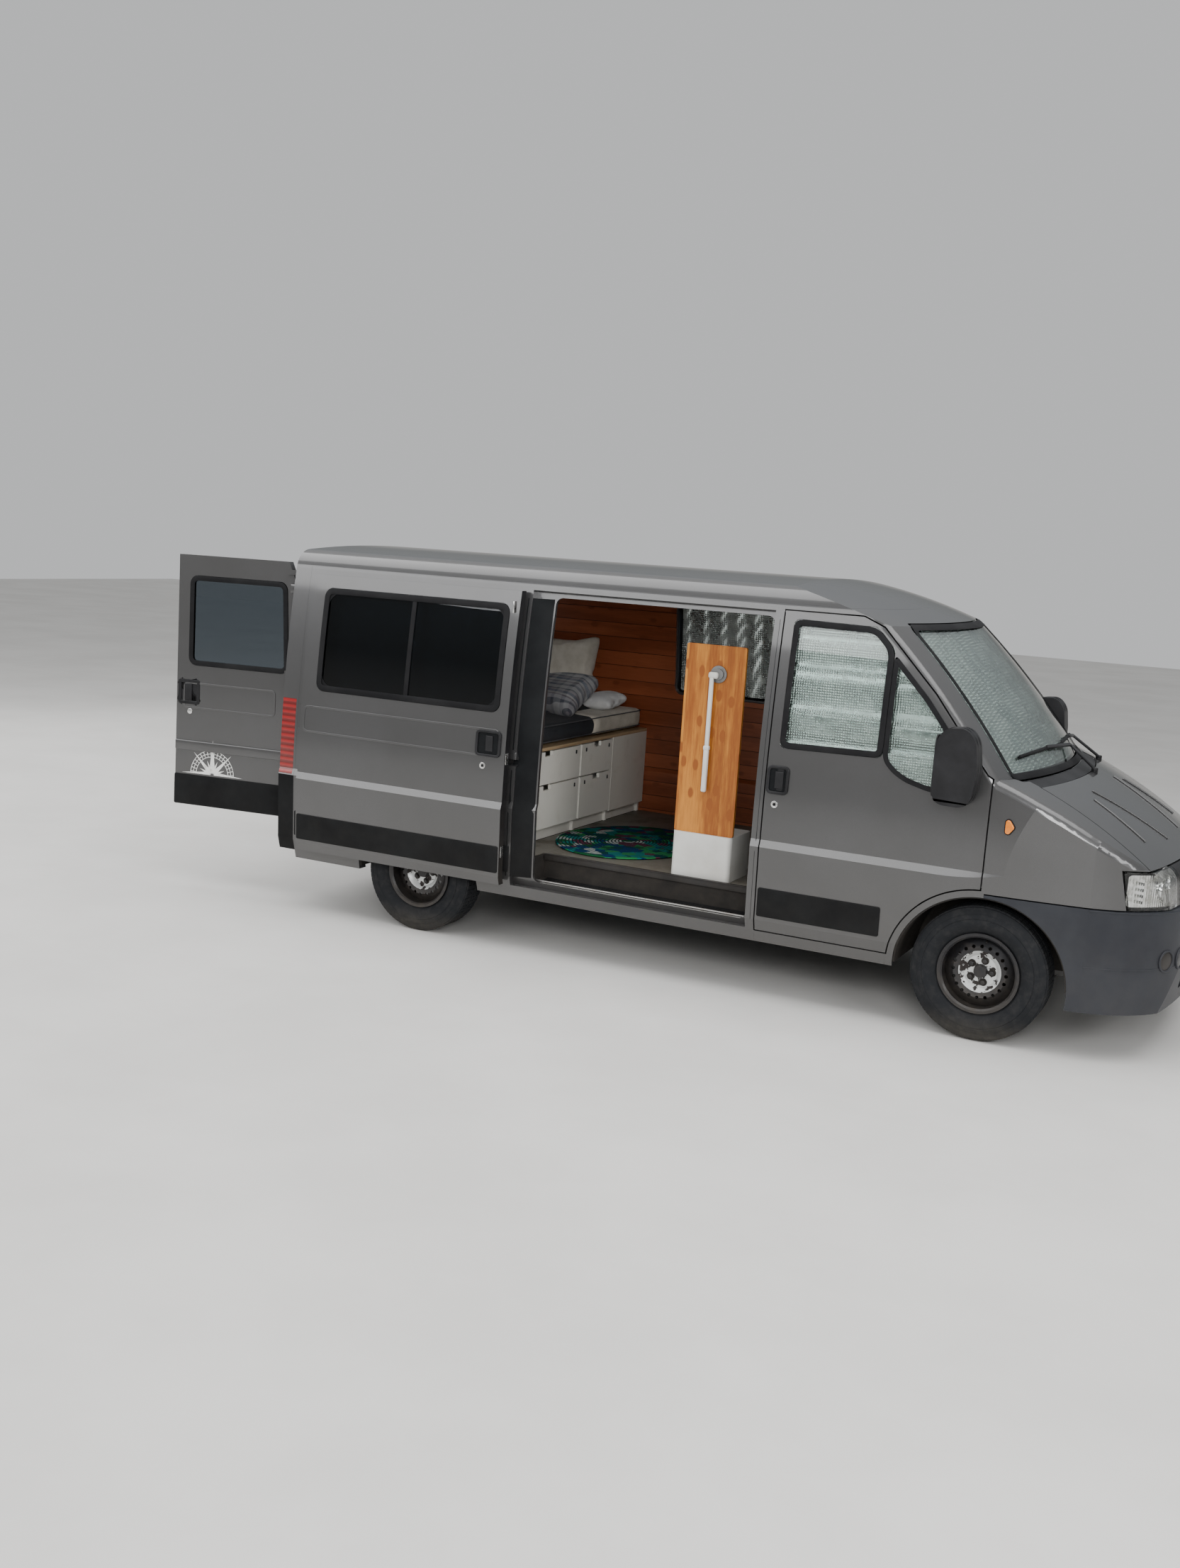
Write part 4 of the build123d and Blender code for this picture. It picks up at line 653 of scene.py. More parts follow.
# %% [markdown]
# ## Dressing the CAD nodes
# Each solid of the van already names a material slot in its record. The table says which finish
# each slot gets; a few nodes take another one, such as the clear windscreen.

# %% Put the finishes on the CAD nodes
NODE_FINISH = {
    "windscreen": "clear_glass",
    "cab_door_glass_right": "clear_glass",
    "cab_door_glass_left": "clear_glass",
    "dashboard": "dash_plastic",
    "steering_wheel": "dash_plastic",
    "bed_base": "bed_box",
    "rear_bumper": "strip_plastic",
}
SOFT_SLOTS = ("seat_fabric", "mattress_fabric", "pillow_fabric")
for part in frame["record"]["subparts"]:
    node_name = part["node"]
    chosen = NODE_FINISH.get(node_name, part["material_slot"])
    if chosen in SOFT_SLOTS:
        continue
    solid = frame["nodes"][node_name]
    if not solid.material_slots:
        solid.data.materials.append(finishes[chosen])
    for slot in solid.material_slots:
        slot.material = finishes[chosen]

# %% [markdown]
# ## Tools for modelling by hand
# The next cells are the moves that a modeller makes all day: pick one object, go into edit mode,
# select by place, and apply a modifier when it has done its work. Flat trim starts as one face
# whose corners are dragged to an outline from the drawing. It is cut into strips, pressed onto
# the curved panel with Shrinkwrap, and only then gets its thickness.

# %% Select, edit, modify


def only(piece):
    """Select one object and make it the active one."""
    bpy.ops.object.select_all(action="DESELECT")
    piece.select_set(True)
    bpy.context.view_layer.objects.active = piece


@contextmanager
def editing(piece, kind="FACE"):
    """Edit mode on one piece, with nothing selected."""
    only(piece)
    bpy.ops.object.mode_set(mode="EDIT")
    bpy.ops.mesh.select_mode(type=kind)
    bpy.ops.mesh.select_all(action="DESELECT")
    yield
    bpy.ops.object.mode_set(mode="OBJECT")


def choose(piece, kind, test):
    """In edit mode, select the verts, edges or faces that pass a test; returns how many."""
    mesh = bmesh.from_edit_mesh(piece.data)
    items = getattr(mesh, kind)
    items.ensure_lookup_table()
    chosen = [item for item in items if test(item)]
    for item in chosen:
        item.select_set(True)
    mesh.select_flush_mode()
    bmesh.update_edit_mesh(piece.data)
    return len(chosen)


def modified(piece, kind, **settings):
    """Add one modifier, set it up and apply it."""
    only(piece)
    modifier = piece.modifiers.new(kind.lower(), kind)
    for key, value in settings.items():
        setattr(modifier, key, value)
    bpy.ops.object.modifier_apply(modifier=modifier.name)
    return piece


def rounded_off(piece, radius, segments=2, angle=40):
    """Bevel the sharp edges of a piece; radius in mm."""
    return modified(piece, "BEVEL", width=radius / 1000, segments=segments, limit_method="ANGLE",
                    angle_limit=math.radians(angle))


def settle(piece, finish_name, body="body", smooth=35):
    """Smooth a piece, give it its finish and let it ride on a body."""
    only(piece)
    bpy.ops.object.shade_smooth_by_angle(angle=math.radians(smooth))
    piece.data.materials.clear()
    piece.data.materials.append(finishes[finish_name])
    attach(piece, body)
    return piece


print("editing tools ready")

# %% Flat trim and small blocks


def named(piece, name):
    piece.name = name
    piece.data.name = name
    return piece


def bar(name, x_range, y_range, z_range, radius=2.0, segments=2):
    """A block between stations, distances across and heights in mm, with rounded edges."""
    x_range, y_range, z_range = sorted(x_range), sorted(y_range), sorted(z_range)
    bpy.ops.object.select_all(action="DESELECT")
    middle = spot(sum(x_range) / 2, sum(y_range) / 2, sum(z_range) / 2)
    bpy.ops.mesh.primitive_cube_add(size=1, location=middle)
    piece = named(bpy.context.object, name)
    piece.scale = [(r[1] - r[0]) / 1000 for r in (x_range, y_range, z_range)]
    bpy.ops.object.transform_apply(location=True, scale=True)
    return rounded_off(piece, radius, segments)


def cylinder(name, place, radius, depth, turn=(90, 0, 0), vertices=32):
    """A round pin or disc; place in metres, radius and depth in mm, turn in degrees."""
    bpy.ops.object.select_all(action="DESELECT")
    bpy.ops.mesh.primitive_cylinder_add(vertices=vertices, radius=radius / 1000, depth=depth / 1000,
                                        location=place, rotation=[math.radians(angle) for angle in turn])
    piece = named(bpy.context.object, name)
    bpy.ops.object.transform_apply(location=True, rotation=True)
    return piece


def ball(name, place, radius, segments, rings, flat=1.0, turn=0.0):
    """A ball, squashed along the van and turned about the vertical; radius in mm, turn in degrees."""
    bpy.ops.object.select_all(action="DESELECT")
    bpy.ops.mesh.primitive_uv_sphere_add(segments=segments, ring_count=rings, radius=radius / 1000,
                                         location=place)
    piece = named(bpy.context.object, name)
    piece.scale = (flat, 1, 1)
    piece.rotation_euler = (0, 0, math.radians(turn))
    bpy.ops.object.transform_apply(location=True, rotation=True, scale=True)
    return piece


def dragged(piece, index, place):
    """In edit mode, drag one point of a mesh to a place in metres."""
    bpy.ops.mesh.select_all(action="DESELECT")
    choose(piece, "verts", lambda vert: vert.index == index)
    start = bmesh.from_edit_mesh(piece.data).verts[index].co.copy()
    bpy.ops.transform.translate(value=Vector(place) - start)


def plate(name, points, view="side", level=0, corner=0, corner_steps=5):
    """One face over an outline: side view (x, z), front view (y, z) or plan (x, y), at a level."""
    bpy.ops.object.select_all(action="DESELECT")
    bpy.ops.mesh.primitive_circle_add(vertices=len(points), radius=0.1, fill_type="NGON")
    piece = named(bpy.context.object, name)
    with editing(piece, "VERT"):
        for index, (a, b) in enumerate(points):
            place = {"side": (a, level, b), "front": (level, a, b), "plan": (a, b, level)}[view]
            dragged(piece, index, spot(*place))
        if corner:
            bpy.ops.mesh.select_all(action="SELECT")
            bpy.ops.mesh.bevel(offset=corner / 1000, segments=corner_steps, affect="VERTICES")
    return piece


def edge_band(piece, width):
    """Keep only a band along the edge of a flat face."""
    with editing(piece):
        bpy.ops.mesh.select_all(action="SELECT")
        bpy.ops.mesh.inset(thickness=width / 1000)
        bpy.ops.mesh.delete(type="FACE")
    return piece


def sliced(piece, axis, step):
    """Cut a flat piece across an axis (0, 1 or 2) at even steps in mm."""
    places = [vert.co[axis] for vert in piece.data.vertices]
    low, high = min(places), max(places)
    count = int((high - low) * 1000 / step)
    normal = [0, 0, 0]
    normal[axis] = 1
    with editing(piece):
        for cut in range(1, count + 1):
            middle = [0, 0, 0]
            middle[axis] = low + cut * (high - low) / (count + 1)
            bpy.ops.mesh.select_all(action="SELECT")
            bpy.ops.mesh.bisect(plane_co=middle, plane_no=normal)
    return piece


def laid_on(piece, node_name, axis=1, lift=0.0):
    """Press a piece along an axis onto a CAD node, and leave it that many mm off the surface."""
    before = [vert.co[axis] for vert in piece.data.vertices]
    modified(piece, "SHRINKWRAP", target=frame["nodes"][node_name], wrap_method="PROJECT",
             wrap_mode="ON_SURFACE", use_project_x=axis == 0, use_project_y=axis == 1,
             use_project_z=axis == 2, use_positive_direction=True, use_negative_direction=True,
             offset=lift / 1000)
    missed = {i for i, vert in enumerate(piece.data.vertices) if abs(vert.co[axis] - before[i]) < 1e-6}
    if missed:
        with editing(piece, "VERT"):
            choose(piece, "verts", lambda vert: vert.index in missed)
            bpy.ops.mesh.delete(type="VERT")
        print("  ", piece.name, "left out", len(missed), "points beside", node_name)
    return piece


def thickened(piece, thickness, outward, radius=0.0, segments=2, even=True):
    """Give a sheet of faces a thickness in mm towards one direction, with rounded edges."""
    total = sum((face.normal * face.area for face in piece.data.polygons), Vector())
    if total.dot(Vector(outward)) < 0:
        with editing(piece):
            bpy.ops.mesh.select_all(action="SELECT")
            bpy.ops.mesh.flip_normals()
    modified(piece, "SOLIDIFY", thickness=thickness / 1000, offset=1.0, use_even_offset=even)
    if radius:
        rounded_off(piece, radius, segments, 50)
    return piece


def grown(points, by):
    """An outline moved outwards by a distance, edge by edge."""
    count = len(points)
    pairs = [(points[i], points[(i + 1) % count]) for i in range(count)]
    turn = 1 if sum(a[0] * b[1] - b[0] * a[1] for a, b in pairs) > 0 else -1
    moved = []
    for i in range(count):
        before, here, after = (Vector(points[(i + step) % count]) for step in (-1, 0, 1))
        first, second = (here - before).normalized(), (after - here).normalized()
        normal = (Vector((first.y + second.y, -first.x - second.x)) * turn).normalized()
        moved.append(tuple(here + normal * by / (normal.dot(Vector((first.y, -first.x))) * turn)))
    return moved


def panel_spot(node_name, start, direction):
    """Where a straight line from a point meets a CAD node."""
    hit, place, _, _ = frame["nodes"][node_name].ray_cast(start, Vector(direction))
    return place if hit else None


def middle_of(piece):
    """The mean place of a piece's points."""
    return sum((vert.co for vert in piece.data.vertices), Vector()) / len(piece.data.vertices)


def joined(name, pieces):
    """Several pieces made one."""
    only(pieces[0])
    for other in pieces[1:]:
        other.select_set(True)
    bpy.ops.object.join()
    return named(bpy.context.object, name)


def carried(piece, matrix):
    """A piece turned or moved by a matrix, with the change applied to its mesh."""
    only(piece)
    piece.matrix_world = matrix @ piece.matrix_world
    bpy.ops.object.transform_apply(location=True, rotation=True, scale=True)
    return piece


def copied(piece, name, matrix=Matrix()):
    """A copy with a mesh of its own, carried somewhere else."""
    only(piece)
    bpy.ops.object.duplicate()
    return carried(named(bpy.context.object, name), matrix)


print("modelling tools ready")

# %% [markdown]
# ## Window seals
# Every pane of this van sits in a black rubber profile that laps over the painted edge. Each
# seal is a band along the pane's outline, pressed onto the glass and then lifted over the paint.
# The sliding door's pane and the one opposite have a divider, because half of it slides.

# %% Outlines of the panes
CAB_PANE = [(-572, 1335), (-572, 1845), (-665, 1938), (-1075, 1945), (-1075, 1325)]
QUARTER_PANE = [(-545, 1330), (-545, 1800), (-150, 1365), (-150, 1345), (-200, 1310)]
SIDE_PANE = [(-1271, 1335), (-1271, 1900), (-2465, 1900), (-2465, 1335)]
SLIDE_BACK = -1415
GLASS_SET_IN = 6
SEAL_LAP = 12
SEAL_WIDTH = 27


def seal(name, outline, corner, node_name, outward_y, body, width=SEAL_WIDTH):
    """A rubber profile round a pane on the flank."""
    piece = plate(name, grown(outline, SEAL_LAP), "side", outward_y * BESIDE, corner + SEAL_LAP)
    edge_band(piece, width)
    sliced(piece, 2, 70)
    sliced(piece, 0, 160)
    laid_on(piece, node_name, 1, GLASS_SET_IN + 0.5)
    thickened(piece, 3.5, (0, outward_y, 0), 1.6)
    return settle(piece, "rubber_seal", body)


for side, sign in SIDES.items():
    door = "cab_door_" + side
    seal("seal_cab_pane_" + side, CAB_PANE, 30, "cab_door_glass_" + side, sign, door, 30)
slid_pane = [(a + SLIDE_BACK, b) for a, b in SIDE_PANE]
seal("seal_sliding_pane", slid_pane, 40, "sliding_door_glass", -1, "body", 34)
seal("seal_side_pane_left", SIDE_PANE, 40, "side_window_left", 1, "body", 34)


def corner_gusset(name, outline, reach, node_name, sign, lift):
    """Black corners that round off a pane: in each corner, the area outside a quarter circle."""
    pieces = []
    low_x, high_x = min(a for a, _ in outline), max(a for a, _ in outline)
    low_z, high_z = min(b for _, b in outline), max(b for _, b in outline)
    for x, hand in ((low_x, 1), (high_x, -1)):
        for z, rise in ((low_z, 1), (high_z, -1)):
            arc = [(x + hand * reach * (1 - math.sin(math.radians(turn))),
                    z + rise * reach * (1 - math.cos(math.radians(turn)))) for turn in range(0, 91, 15)]
            gusset = laid_on(plate("gusset", [(x, z)] + arc, "side", sign * BESIDE), node_name, 1, lift)
            pieces.append(thickened(gusset, 2, (0, sign, 0)))
    return settle(joined(name, pieces), "rubber_seal")


DIVIDED_PANES = [("sliding_pane", slid_pane, "sliding_door_glass", -1),
                 ("side_pane_left", SIDE_PANE, "side_window_left", 1)]
for name, outline, node_name, sign in DIVIDED_PANES:
    corner_gusset("corners_" + name, grown(outline, -12), 95, node_name, sign, 1)
    station = (outline[0][0] + outline[2][0]) / 2
    edges = [(station - 14, 1350), (station + 14, 1350), (station + 14, 1886), (station - 14, 1886)]
    piece = laid_on(sliced(plate("divider_" + name, edges, "side", sign * BESIDE), 2, 70), node_name, 1, 0.5)
    settle(thickened(piece, 7, (0, sign, 0), 2), "rubber_seal")
print("flank seals and dividers")

# %% Windscreen and rear door seals
SCREEN_PANE = [(-825, 1292), (-722, 1950), (722, 1950), (825, 1292)]
piece = plate("seal_windscreen", grown(SCREEN_PANE, 16), "front", AHEAD, 45)
edge_band(piece, 26)
sliced(piece, 1, 90)
sliced(piece, 2, 60)
laid_on(piece, "windscreen", 0, 9)
thickened(piece, 3, (1, 0, 0.8), 1.2)
settle(piece, "rubber_seal", "body")

REAR_FACE = -4170
REAR_DOOR_OUTER = REAR_FACE - 20
REAR_DOOR_INNER = REAR_DOOR_OUTER + 45
REAR_HINGE = (REAR_FACE - 30, 825)
REAR_OPEN = 98
REAR_PANE = [(-760, 1380), (-735, 1900), (-95, 1900), (-95, 1380)]


def opened(piece, side):
    """Carry a piece modelled on a shut rear door to where the door stands."""
    sign = SIDES[side]
    pivot = Matrix.Translation(spot(REAR_HINGE[0], sign * REAR_HINGE[1], 0))
    return carried(piece, pivot @ Matrix.Rotation(math.radians(-sign * REAR_OPEN), 4, "Z") @ pivot.inverted())


def on_side(points, side):
    """An outline drawn on the right door, for either side."""
    return points if side == "right" else [(-a, b) for a, b in points]


for side in SIDES:
    for face, level, outward in (("outer", REAR_DOOR_OUTER - 0.5, -1), ("inner", REAR_DOOR_OUTER + 13, 1)):
        lap = SEAL_LAP if face == "outer" else -2
        piece = plate("seal_rear_pane_%s_%s" % (face, side), grown(on_side(REAR_PANE, side), lap), "front",
                      level, 40 + lap)
        edge_band(piece, 30 if face == "outer" else 14)
        thickened(piece, 4, (outward, 0, 0), 1.6)
        settle(opened(piece, side), "rubber_seal", "rear_door_" + side)
print("windscreen and rear seals")

# %% [markdown]
# ## Rub strips and press lines
# A broad grained strip protects the flanks below the crease. The big panels are stiffened by
# shallow pressed lines; on the paint they read as thin bright lines, so each one is a fine
# rounded bead in the same paint.

# %% Rub strips
STRIP_LOW = 442
STRIP_HIGH = 592
STRIPS = [
    # name, from, to, node, body, side
    ("strip_cab_door_right", -1132, -492, "cab_door_right", "cab_door_right", -1),
    ("strip_cab_door_left", -1132, -492, "cab_door_left", "cab_door_left", 1),
    ("strip_sliding_door", -3982, -2623, "sliding_door", "body", -1),
    ("strip_mid_left", -2822, -1156, "side_panel_left", "body", 1),
    ("strip_mid_right", -2822, -2592, "side_panel_right", "body", -1),
    ("strip_rear_right", -4050, -3572, "side_panel_right", "body", -1),
    ("strip_rear_left", -4050, -3572, "side_panel_left", "body", 1),
]
for name, start, end, node_name, body, sign in STRIPS:
    edges = [(start, STRIP_LOW), (end, STRIP_LOW), (end, STRIP_HIGH), (start, STRIP_HIGH)]
    piece = sliced(plate(name, edges, "side", sign * BESIDE, 10), 2, 60)
    laid_on(sliced(piece, 0, 220), node_name, 1, 0)
    thickened(piece, 6, (0, sign, 0), 4, 3)
    settle(piece, "strip_plastic", body)
print(len(STRIPS), "rub strips")

# %% Press lines
BEAD = 11
PRESSED = [
    # name, outline, corner, node, body, side
    ("press_sliding_door", [(-3968, 1076), (-2655, 1076), (-2655, 1232), (-3968, 1232)], 34, "sliding_door",
     "body", -1),
    ("press_rear_right", [(-4050, 1076), (-4010, 1076), (-4010, 1232), (-4050, 1232)], 8, "side_panel_right",
     "body", -1),
    ("press_mid_left", [(-4020, 1076), (-1190, 1076), (-1190, 1232), (-4020, 1232)], 34, "side_panel_left",
     "body", 1),
]
for name, edges, corner, node_name, body, sign in PRESSED:
    piece = edge_band(plate(name, edges, "side", sign * BESIDE, corner), BEAD)
    laid_on(sliced(sliced(piece, 2, 60), 0, 150), node_name, 1, -1.0)
    thickened(piece, 4, (0, sign, 0), 1.9, 3)
    settle(piece, "body_paint", body)
for side in SIDES:
    edges = on_side([(-690, 1100), (-50, 1100), (-50, 1262), (-690, 1262)], side)
    piece = edge_band(plate("press_rear_door_" + side, edges, "front", REAR_DOOR_OUTER + 1, 30), BEAD)
    thickened(piece, 4, (-1, 0, 0), 1.9, 3)
    settle(opened(piece, side), "body_paint", "rear_door_" + side)
    edges = on_side([(-806, 842), (-4, 842), (-4, 902), (-806, 902)], side)
    piece = plate("crease_rear_door_" + side, edges, "front", REAR_DOOR_OUTER + 1)
    thickened(piece, 13, (-1, 0, 0), 12, 5)
    settle(opened(piece, side), "body_paint", "rear_door_" + side)
    edges = on_side([(-808, 502), (1, 502), (1, 690), (-808, 690)], side)
    piece = plate("skirt_rear_door_" + side, edges, "front", REAR_DOOR_OUTER + 1, 8)
    thickened(piece, 5, (-1, 0, 0), 3.5, 3)
    settle(opened(piece, side), "strip_plastic", "rear_door_" + side)
print("press lines and rear skirts")

# %% [markdown]
# ## Handles, locks and repeaters
# The handles sit in deep rounded recesses. A black dish lines each recess and laps over the
# paint, the lock barrel is a bright button below it, and the indicator repeater is an orange
# rounded triangle on the wing.

# %% Handle dishes and locks
tree, shader = finish("amber_lens", (0.85, 0.23, 0.01), 0.2, coat_weight=0.6, coat_roughness=0.06,
                      subsurface_weight=0.1)
where = object_place(tree)
feed(tree, mixed(tree, noise(tree, where, 60, 4), (0.90, 0.28, 0.015), (0.68, 0.16, 0.008)),
     shader.inputs["Base Color"])
lens_ribs = texture(tree, "TexWave", where, {"Scale": 90}, wave_type="BANDS", bands_direction="X")
roughen(tree, shader, lens_ribs.outputs["Fac"], 0.3, 0.001)

LOCK_HEIGHT = 1026
HANDLES = [
    # name, rear edge, front edge, node, body, side
    ("cab_right", -1130, -1026, "cab_door_right", "cab_door_right", -1),
    ("cab_left", -1130, -1026, "cab_door_left", "cab_door_left", 1),
    ("sliding", -2796, -2650, "sliding_door", "body", -1),
]


def button(name, x, z, sign, node_name, body, radius, proud, finish_name):
    """A round button standing on a panel, with a bevelled rim and a sunk middle."""
    place = panel_spot(node_name, spot(x, sign * BESIDE, z), (0, -sign, 0))
    piece = cylinder(name, place, radius, proud * 2)
    with editing(piece):
        choose(piece, "faces", lambda face: face.normal.y * sign > 0.9)
        bpy.ops.mesh.inset(thickness=radius * 0.25 / 1000)
        bpy.ops.mesh.inset(thickness=radius * 0.15 / 1000, depth=-proud * 0.5 / 1000)
    rounded_off(piece, proud * 0.25, 2, 50)
    return settle(piece, finish_name, body)


for name, rear, front, node_name, body, sign in HANDLES:
    edges = [(rear, 1084), (front, 1084), (front, 1217), (rear, 1217)]
    bed = sliced(plate("handle_dish_" + name, grown(edges, 6), "side", sign * BESIDE, 26), 2, 40)
    laid_on(bed, node_name, 1, 2)
    skin_y = middle_of(bed).y * 1000
    rim = copied(bed, "handle_rim_" + name)
    settle(thickened(bed, 1.5, (0, sign, 0), 0.6), "strip_plastic", body)
    settle(thickened(edge_band(rim, 15), 8, (0, sign, 0), 3.5, 3), "black_plastic", body)
    grip_x = (rear + front) / 2 + 8
    grip = bar("handle_grip_" + name, (grip_x - 22, grip_x + 22), (skin_y - 3, skin_y + 3), (1108, 1194), 2)
    carried(grip, Matrix.Translation(Vector((0, sign * 0.005, 0))))
    settle(rounded_off(grip, 2, 3), "black_plastic", body)
    button("lock_" + name, rear + 45, LOCK_HEIGHT, sign, node_name, body, 18, 4, "bright_metal")
    button("keyhole_" + name, rear + 45, LOCK_HEIGHT, sign, node_name, body, 8, 5, "rubber_seal")
for side in SIDES:
    edges = on_side([(-164, 1126), (-14, 1126), (-14, 1278), (-164, 1278)], side)
    rim = plate("handle_rear_" + side, edges, "front", REAR_DOOR_OUTER - 0.5, 16)
    thickened(rim, 3, (-1, 0, 0), 1.2)
    with editing(rim):
        choose(rim, "faces", lambda face: face.normal.x < -0.95 and face.calc_area() > 0.002)
        bpy.ops.mesh.inset(thickness=0.016)
        bpy.ops.mesh.inset(thickness=0.004, depth=-0.002)
    grip = bar("handle_grip_rear_" + side, (REAR_DOOR_OUTER - 10, REAR_DOOR_OUTER - 1),
               [SIDES[side] * y for y in (62, 112)], (1152, 1252), 4, 3)
    settle(opened(joined("handle_rear_" + side, [rim, grip]), side), "black_plastic", "rear_door_" + side)
    edges = on_side([(-116, 1066), (-82, 1066), (-82, 1100), (-116, 1100)], side)
    lock = plate("lock_rear_" + side, edges, "front", REAR_DOOR_OUTER - 0.5, 16)
    settle(opened(thickened(lock, 4, (-1, 0, 0), 1.8), side), "bright_metal", "rear_door_" + side)
print("handles and locks")

# %% Repeaters
REPEATER = [(66, 1044), (66, 1104), (84, 1110), (110, 1074), (84, 1038)]
for side, sign in SIDES.items():
    bed = plate("repeater_bed_" + side, grown(REPEATER, 5), "side", sign * BESIDE, 12)
    laid_on(bed, "front_wings", 1, -1)
    thickened(bed, 4, (0, sign, 0), 1.2)
    settle(bed, "rubber_seal")
    lens = plate("repeater_" + side, REPEATER, "side", sign * BESIDE, 9)
    laid_on(lens, "front_wings", 1, 0)
    thickened(lens, 13, (0, sign, 0), 5, 4)
    settle(lens, "amber_lens")
print("repeaters")

# %% [markdown]
# ## Wheels
# A tyre is one cross-section turned round the hub line. The tread ribs are raised from the band
# as separate blocks, which leaves the grooves between them; fine rings and a protector rib
# stand on the sidewall. The steel wheel gets its chipped white centre, a cap, bolts on dark
# discs that paint the shade in their recesses, and a valve.

# %% Tyres
TYRE_RADIUS = 335
TREAD_DEPTH = 7
TREAD_FLOOR = 0.3255
TYRE_STEPS = 80
TYRE_SECTION = [
    # across from the middle, radius
    (64, 191), (72, 203), (84, 212), (95, 228), (101, 246), (102, 262), (101.5, 268), (99, 270), (100.5, 274),
    (97, 290), (95, 294), (93, 296), (91.5, 303), (86, 318), (82, 325), (76, 327.5),
    (66, 328), (60, 327), (38, 328), (32, 327), (10, 328), (5, 327),
]
RIBS = [(66, 78), (38, 60), (10, 32), (-5, 5), (-32, -10), (-60, -38), (-78, -66)]


def turned(name, section, centre, steps):
    """A cross-section of (distance across, radius) points turned all round a line across the van."""
    bpy.ops.object.select_all(action="DESELECT")
    bpy.ops.mesh.primitive_circle_add(vertices=len(section), radius=0.1, fill_type="NOTHING")
    piece = named(bpy.context.object, name)
    with editing(piece, "VERT"):
        for index, (across, radius) in enumerate(section):
            dragged(piece, index, centre + Vector((0, across / 1000, radius / 1000)))
        bpy.ops.mesh.select_all(action="SELECT")
        bpy.ops.mesh.spin(steps=steps, angle=math.radians(360), axis=(0, 1, 0), center=centre)
        bpy.ops.mesh.select_all(action="SELECT")
        bpy.ops.mesh.remove_doubles(threshold=0.0001)
        bpy.ops.mesh.normals_make_consistent(inside=False)
    return piece


def from_hub(place, centre):
    """Distance of a place from a hub line across the van."""
    return math.hypot(place.x - centre.x, place.z - centre.z)


def tyre(name, centre):
    section = TYRE_SECTION + [(-across, radius) for across, radius in reversed(TYRE_SECTION)]
    piece = turned(name, section, centre, TYRE_STEPS)
    with editing(piece):
        for low, high in RIBS:
            bpy.ops.mesh.select_all(action="DESELECT")
            choose(piece, "faces", lambda face: low < (face.calc_center_median().y - centre.y) * 1000 < high
                   and from_hub(face.calc_center_median(), centre) > TREAD_FLOOR)
            bpy.ops.mesh.inset(thickness=0.0016, depth=TREAD_DEPTH / 1000 - 0.0012, use_individual=True)
    return piece


TRACK_HALF = 860
WHEELBASE = 3200
PLACES = [
    # name, station, side
    ("front_right", 0, -1), ("front_left", 0, 1),
    ("rear_right", -WHEELBASE, -1), ("rear_left", -WHEELBASE, 1),
]
first = tyre("tyre_round", spot(0, -TRACK_HALF, TYRE_RADIUS))
for name, station, sign in PLACES:
    shift = Matrix.Translation(Vector((station / 1000, (sign * TRACK_HALF + TRACK_HALF) / 1000, 0)))
    piece = copied(first, "tread_tyre_" + name, shift)
    settle(piece, "tyre", "wheel_" + name, smooth=30)
    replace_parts(piece, "tyre_" + name)
bpy.data.objects.remove(first)
print("tyres with", TYRE_STEPS, "blocks round each rib")

# %% Wheel centres
tree, shader = finish("chipped_white", (0.62, 0.62, 0.60), 0.42, metallic=0.25)
where = object_place(tree)
chips = between(tree, noise(tree, where, 24, 6, 0.62), 0.525, 0.555)
surface(tree, shader, mixed(tree, chips, (0.58, 0.59, 0.58), (0.030, 0.024, 0.022)),
        between(tree, chips, 0, 1, 0.35, 0.75))
roughen(tree, shader, chips, 0.6, -0.0012)

HUB_FACE = 15
BOLT_CIRCLE = 0.056
CENTRE_RING = [(0, 34), (1.2, 34.5), (1.2, 79), (22, 100.5), (24, 104.5), (0, 82)]
HUB_CAP = [(0, 33), (10, 33), (14, 29), (15, 18), (15.5, 0.5), (0, 0.5)]
for name, station, sign in PLACES:
    centre = spot(station, sign * TRACK_HALF, TYRE_RADIUS)
    body = "wheel_" + name
    for part_name, section, steps, finish_name in (("wheel_centre_", CENTRE_RING, 64, "chipped_white"),
                                                   ("wheel_cap_", HUB_CAP, 40, "wheel_steel")):
        outward = [(sign * (HUB_FACE + proud), radius) for proud, radius in section]
        settle(turned(part_name + name, outward, centre, steps), finish_name, body)
    bolts = []
    # Dark discs round the bolts are painted shade in the bolt recesses.
    recess_shades = []
    for step in range(5):
        angle = math.radians(72 * step)
        for made, proud in ((recess_shades, 1.5), (bolts, 15)):
            place = centre + Vector((BOLT_CIRCLE * math.cos(angle), sign * (HUB_FACE + proud) / 1000,
                                     BOLT_CIRCLE * math.sin(angle)))
            if made is recess_shades:
                made.append(cylinder("recess", place, 19, 5, vertices=28))
            else:
                made.append(rounded_off(cylinder("bolt", place, 11.5, 6, vertices=6), 1.5, 2, 30))
    settle(joined("wheel_bolts_" + name, bolts), "wheel_steel", body)
    settle(joined("bolt_recesses_" + name, recess_shades), "rubber_seal", body)
    valve_place = centre + Vector((0.02, sign * 0.038, 0.158))
    valve = cylinder("valve_" + name, valve_place, 4, 32, (70 * sign, 0, 0), 12)
    settle(rounded_off(valve, 1, 2), "rubber_seal", body)
print("wheel centres")

# %% [markdown]
# ## Glass details: foil mats, wipers, mirrors
# Bubble-foil mats hang inside the cab glass. Foil is aluminium laminated to bubble film: bright,
# soft, dimpled all over and creased where it has been rolled. Each mat is a real sheet, cut to
# its pane and wrinkled a little.

